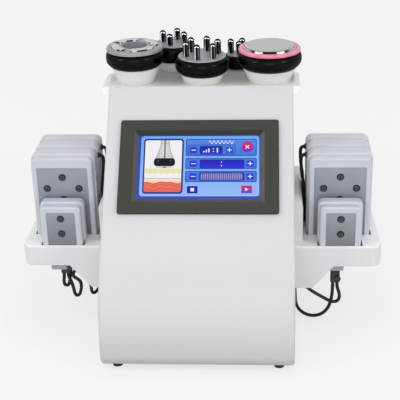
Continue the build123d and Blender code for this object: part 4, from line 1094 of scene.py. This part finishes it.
def electrode_arc(start):
    """Sections of one arc, from its start in degrees, with its ends drawn in."""
    middle = sum(ARC_BAND) / 2
    half = (ARC_BAND[1] - ARC_BAND[0]) / 2
    soft = ARC_RISE * 0.3
    sections = []
    for step in range(ARC_STEPS + 1):
        share = step / ARC_STEPS
        angle = math.radians(start + ARC_SWEEP * share)
        narrow = half * (1 - abs(2 * share - 1) ** 12 * 0.5)
        outline = (
            (middle - narrow, -soft), (middle - narrow, ARC_RISE - soft),
            (middle - narrow + soft, ARC_RISE), (middle + narrow - soft, ARC_RISE),
            (middle + narrow, ARC_RISE - soft), (middle + narrow, -soft),
        )
        turn = (math.cos(angle), math.sin(angle))
        sections.append([(out * turn[0], out * turn[1], rise) for out, rise in outline])
    return sections


class BuildFaces(bpy.types.Operator):
    """Make the bevelled disc, the light ring and the electrode arcs of two handpieces"""

    bl_idname = "machine.build_faces"
    bl_label = "Treatment faces"

    def execute(self, context):
        place = Matrix.Translation(Vector(HEADS["cavitation"]) / MILLIMETRES)
        disc = lathe("bevelled_disc", DISC, place, disc_material(), FACE_SIDES)
        belongs(disc, "cavitation_head", "cavitation_head_disc")
        pink = light_ring_material()
        ring = lathe("rounded_light_ring", LIGHT_RING, place, pink, FACE_SIDES, closed=True)
        belongs(ring, "cavitation_head", "cavitation_head_light_ring")

        raised = Vector(HEADS["vacuum"]) / MILLIMETRES + Vector((0, 0, FACE_RISE))
        place = Matrix.Translation(raised)
        chrome = electrode_material()
        for number, start in enumerate(ARC_STARTS):
            arc = swept(f"electrode_arc_{number + 1}", electrode_arc(start), place, chrome)
            belongs(arc, "vacuum_head", "vacuum_head_electrodes")
        return {"FINISHED"}


class FinishScreen(bpy.types.Operator):
    """Give the screen its bezel finish and its picture"""

    bl_idname = "machine.finish_screen"
    bl_label = "Screen"

    def execute(self, context):
        bezel = plastic("bezel_grey", srgb(68, 68, 65), 0.5, 0.05, 0.06, specular_ior_level=0.15)
        across = bezel.faces("x")
        above = bezel.faces("z")
        inside = bezel.share(abs(bezel.x), 91.0, 90.0)
        # Painted light and shade on the bevel round the glass: each part lighter or darker by the
        # way it faces
        for side, shade in (
            (bezel.share(across, 0.2, 0.4), (88, 88, 84)),
            (bezel.share(across, -0.2, -0.4), (97, 97, 93)),
            (bezel.share(above, 0.5, 0.3), (54, 54, 52)),
            (bezel.share(above, 0.85, 0.95), (84, 84, 80)),
        ):
            bezel.lay(side * inside, shade)
        give(bezel.material, "screen_bezel")
        give(screen_material(context.scene.machine.finishes), "display_panel")
        return {"FINISHED"}


class FinishPads(bpy.types.Operator):
    """Give the laser pads their finishes"""

    bl_idname = "machine.finish_pads"
    bl_label = "Laser pads"

    def execute(self, context):
        white = opaque(context.scene.machine.finishes.pad)
        case = plastic("pad_case", white, 0.3, 0.015, 0.04, coat_weight=0.15, coat_roughness=0.2)
        large = pad_window_material("large_pad_window", LARGE_DIODES, 206.0, 117.0)
        small = pad_window_material("small_pad_window", SMALL_DIODES, 163.0, 117.0)
        for side in ("left", "right"):
            for pad in ("large_pad_1", "large_pad_2", "large_pad_3", "small_pad"):
                give(case.material, f"{side}_{pad}_case")
                give(small if pad == "small_pad" else large, f"{side}_{pad}_window")
        return {"FINISHED"}


class FinishFittings(bpy.types.Operator):
    """Give the rear fittings, the clips and the parts inside their finishes"""

    bl_idname = "machine.finish_fittings"
    bl_label = "Fittings"

    def execute(self, context):
        black = plastic("fitting_black", srgb(32, 32, 35), 0.45, 0.03, 0.1)
        give(black.material, "fan_frame", "fan_rotor", "lead_glands")
        give(inlet_material(), "power_inlet")
        give(rocker_material(), "power_rocker")
        give(socket_material(), "handpiece_sockets")
        give(clip_material(), "lead_clips")
        give(board_material(), "main_board")
        give(transformer_material(), "transformer")
        give(pump_material(), "vacuum_pump")
        case = metal("supply_case", srgb(166, 168, 172), 0.36, (0.2, 2.0, 2.0), 0.02)
        give(case, "power_supply")
        return {"FINISHED"}


def held_lead(name, points, node, jacket, radius):
    """A lead that stays with the cabinet, as a curve."""
    lead = spline_curve(name, points, radius)
    lead.data.materials.append(jacket)
    belongs(lead, "root", node)
    return lead


def pad_lead(body, points, node, jacket, settings):
    """A pad's lead, as a mesh tube round its line."""
    line = as_mesh(spline_curve("pad_lead_line", points, 0.0), "pad_lead_line")
    bpy.data.objects.remove(line)
    lead = as_mesh(spline_curve("pad_lead_tube", points, settings.radius), f"{body}_lead")
    lead.data.materials.clear()
    lead.data.materials.append(jacket)
    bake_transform(lead)
    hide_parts(node)


class BuildLeads(bpy.types.Operator):
    """Make the leads with their sleeves, on both sides"""

    bl_idname = "machine.build_leads"
    bl_label = "Leads"

    def execute(self, context):
        settings = context.scene.machine.leads
        jacket = rubber("lead_jacket", srgb(20, 20, 23), 0.4, specular_ior_level=0.35)
        sleeve = rubber("lead_sleeve", srgb(30, 30, 33), 0.5)
        for side, name, long_route, short_route in (
            (-1, "left", LEFT_LONG, LEFT_SHORT),
            (1, "right", RIGHT_LONG, RIGHT_SHORT),
        ):
            link = f"{name}_link_lead"
            points = route(long_route, side)
            boot = lathe(f"{name}_gland_sleeve", SLEEVE, facing(points[0], (0, 1, 0)), sleeve)
            belongs(boot, "root")
            lead = held_lead(f"{name}_long_lead", points, link, jacket, settings.radius)
            getattr(settings, f"{name}_length")

            points = route(short_route, side)
            lead = held_lead(f"{name}_short_lead", points, link, jacket, settings.radius)
            getattr(settings, f"{name}_loop")

            for number, row in PAD_ROWS:
                body = f"{name}_large_pad_{number}"
                points = route(PAD_LEAD, side, row / MILLIMETRES - CORNER.y)
                away = facing(points[0], (-side, 0, 0))
                collar = lathe(f"{body}_grommet", GROMMET, away, sleeve, GROMMET_SIDES)
                belongs(collar, body)
                pad_lead(body, points, f"{name}_pad_leads", jacket, settings)
        return {"FINISHED"}


class BuildStudio(bpy.types.Operator):
    """Make the floor, the lights, the world and the camera"""

    bl_idname = "machine.build_studio"
    bl_label = "Studio"

    def execute(self, context):
        settings = context.scene.machine.studio
        context.scene.view_settings.view_transform = "Standard"
        self.build_floor(settings)
        self.build_world(context.scene, settings)
        self.build_lamps(settings)
        self.build_camera(context.scene, settings)
        return {"FINISHED"}

    def build_floor(self, settings):
        """Paper that takes the object's shadow and shows nearly as pale as the world."""
        finish = Finish("studio_paper", roughness=0.9, specular_ior_level=0.1)
        seen = finish.seen()
        finish.ground(seen, opaque(settings.floor), (248, 248, 248))
        finish.lay(finish.noise(finish.point, 0.002, 2.0) * 0.1, (186, 186, 186))
        paper = Value(finish, finish.surface.outputs["BSDF"])
        glow = {"Color": PALE, "Strength": 1.09}
        bright = finish.node("ShaderNodeEmission", {}, glow)
        both = finish.node("ShaderNodeMixShader", {}, {0: seen * 0.72, 1: paper, 2: bright})
        finish.feed(finish.output.inputs["Surface"], both)
        corners = [(x * FLOOR_REACH, y * FLOOR_REACH, 0) for x, y in SQUARE]
        place = Matrix.Identity(4)
        solid("studio_floor", corners, [(0, 1, 2, 3)], place, finish.material)

    def build_world(self, scene, settings):
        """One colour to light with and one to be seen."""
        scene.world = bpy.data.worlds.new("studio_world")
        scene.world.use_nodes = True
        tree = Tree(scene.world.node_tree)
        height = tree.part(tree.node("ShaderNodeTexCoord", output=0), "z")
        strength = tree.share(height, 0.0, 1.0) * settings.zenith + settings.sky
        light = {"Color": srgb(255, 255, 255), "Strength": strength}
        lit = tree.node("ShaderNodeBackground", {}, light)
        pale = tree.node("ShaderNodeBackground", {}, {"Color": PALE, "Strength": 1.0})
        both = tree.node("ShaderNodeMixShader", {}, {0: tree.seen(), 1: lit, 2: pale})
        output = tree.tree.nodes.new("ShaderNodeOutputWorld")
        tree.feed(output.inputs["Surface"], both)

    def build_lamps(self, settings):
        for name, place, size, power in (
            ("front_lamp", (0.0, -2.8, 0.75), 2.0, settings.front),
            ("left_lamp", (-1.7, -1.1, 1.3), 0.5, settings.side),
            ("right_lamp", (1.7, -1.1, 1.3), 0.5, settings.side),
        ):
            lamp = bpy.data.lights.new(name, "AREA")
            lamp.energy = power
            lamp.size = size
            held = added(name, lamp, facing(Vector(place), Vector(place) - LAMP_TARGET))
            held.visible_camera = False

    def build_camera(self, scene, settings):
        lens = bpy.data.cameras.new("camera")
        lens.lens = settings.lens
        lens.sensor_width = 36.0
        lens.clip_start = 0.05
        lens.clip_end = 50.0
        turned = Matrix.Rotation(settings.camera_tip, 4, "X")
        turned = turned @ Matrix.Rotation(settings.camera_swing, 4, "Y")
        scene.camera = added("camera", lens, Matrix.Translation(settings.camera_place) @ turned)


class MachinePanel(bpy.types.Panel):
    """Settings and steps, in the sidebar"""

    bl_idname = "VIEW3D_PT_machine"
    bl_label = "Slimming machine"
    bl_space_type = "VIEW_3D"
    bl_region_type = "UI"
    bl_category = "Machine"

    def draw(self, context):
        settings = context.scene.machine
        for group in (settings.finishes, settings.leads, settings.studio):
            box = self.layout.box()
            for name in group.__annotations__:
                box.prop(group, name)
        for step in STEPS:
            self.layout.operator(step.bl_idname)


STEPS = (
    FinishCabinet,
    BuildBrow,
    FinishHandpieces,
    BuildFaces,
    FinishScreen,
    FinishPads,
    FinishFittings,
    BuildLeads,
    BuildStudio,
)
CLASSES = (LeadSettings, FinishSettings, StudioSettings, MachineSettings, *STEPS, MachinePanel)


def register():
    for kind in CLASSES:
        bpy.utils.register_class(kind)
    bpy.types.Scene.machine = PointerProperty(type=MachineSettings)


def unregister():
    del bpy.types.Scene.machine
    for kind in reversed(CLASSES):
        bpy.utils.unregister_class(kind)


def main():
    register()
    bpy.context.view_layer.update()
    for result in (
        bpy.ops.machine.finish_cabinet(),
        bpy.ops.machine.build_brow(),
        bpy.ops.machine.finish_handpieces(),
        bpy.ops.machine.build_faces(),
        bpy.ops.machine.finish_screen(),
        bpy.ops.machine.finish_pads(),
        bpy.ops.machine.finish_fittings(),
        bpy.ops.machine.build_leads(),
        bpy.ops.machine.build_studio(),
    ):
        if result != {"FINISHED"}:
            raise RuntimeError("a step of the scene did not finish")


if __name__ == "__main__":
    main()
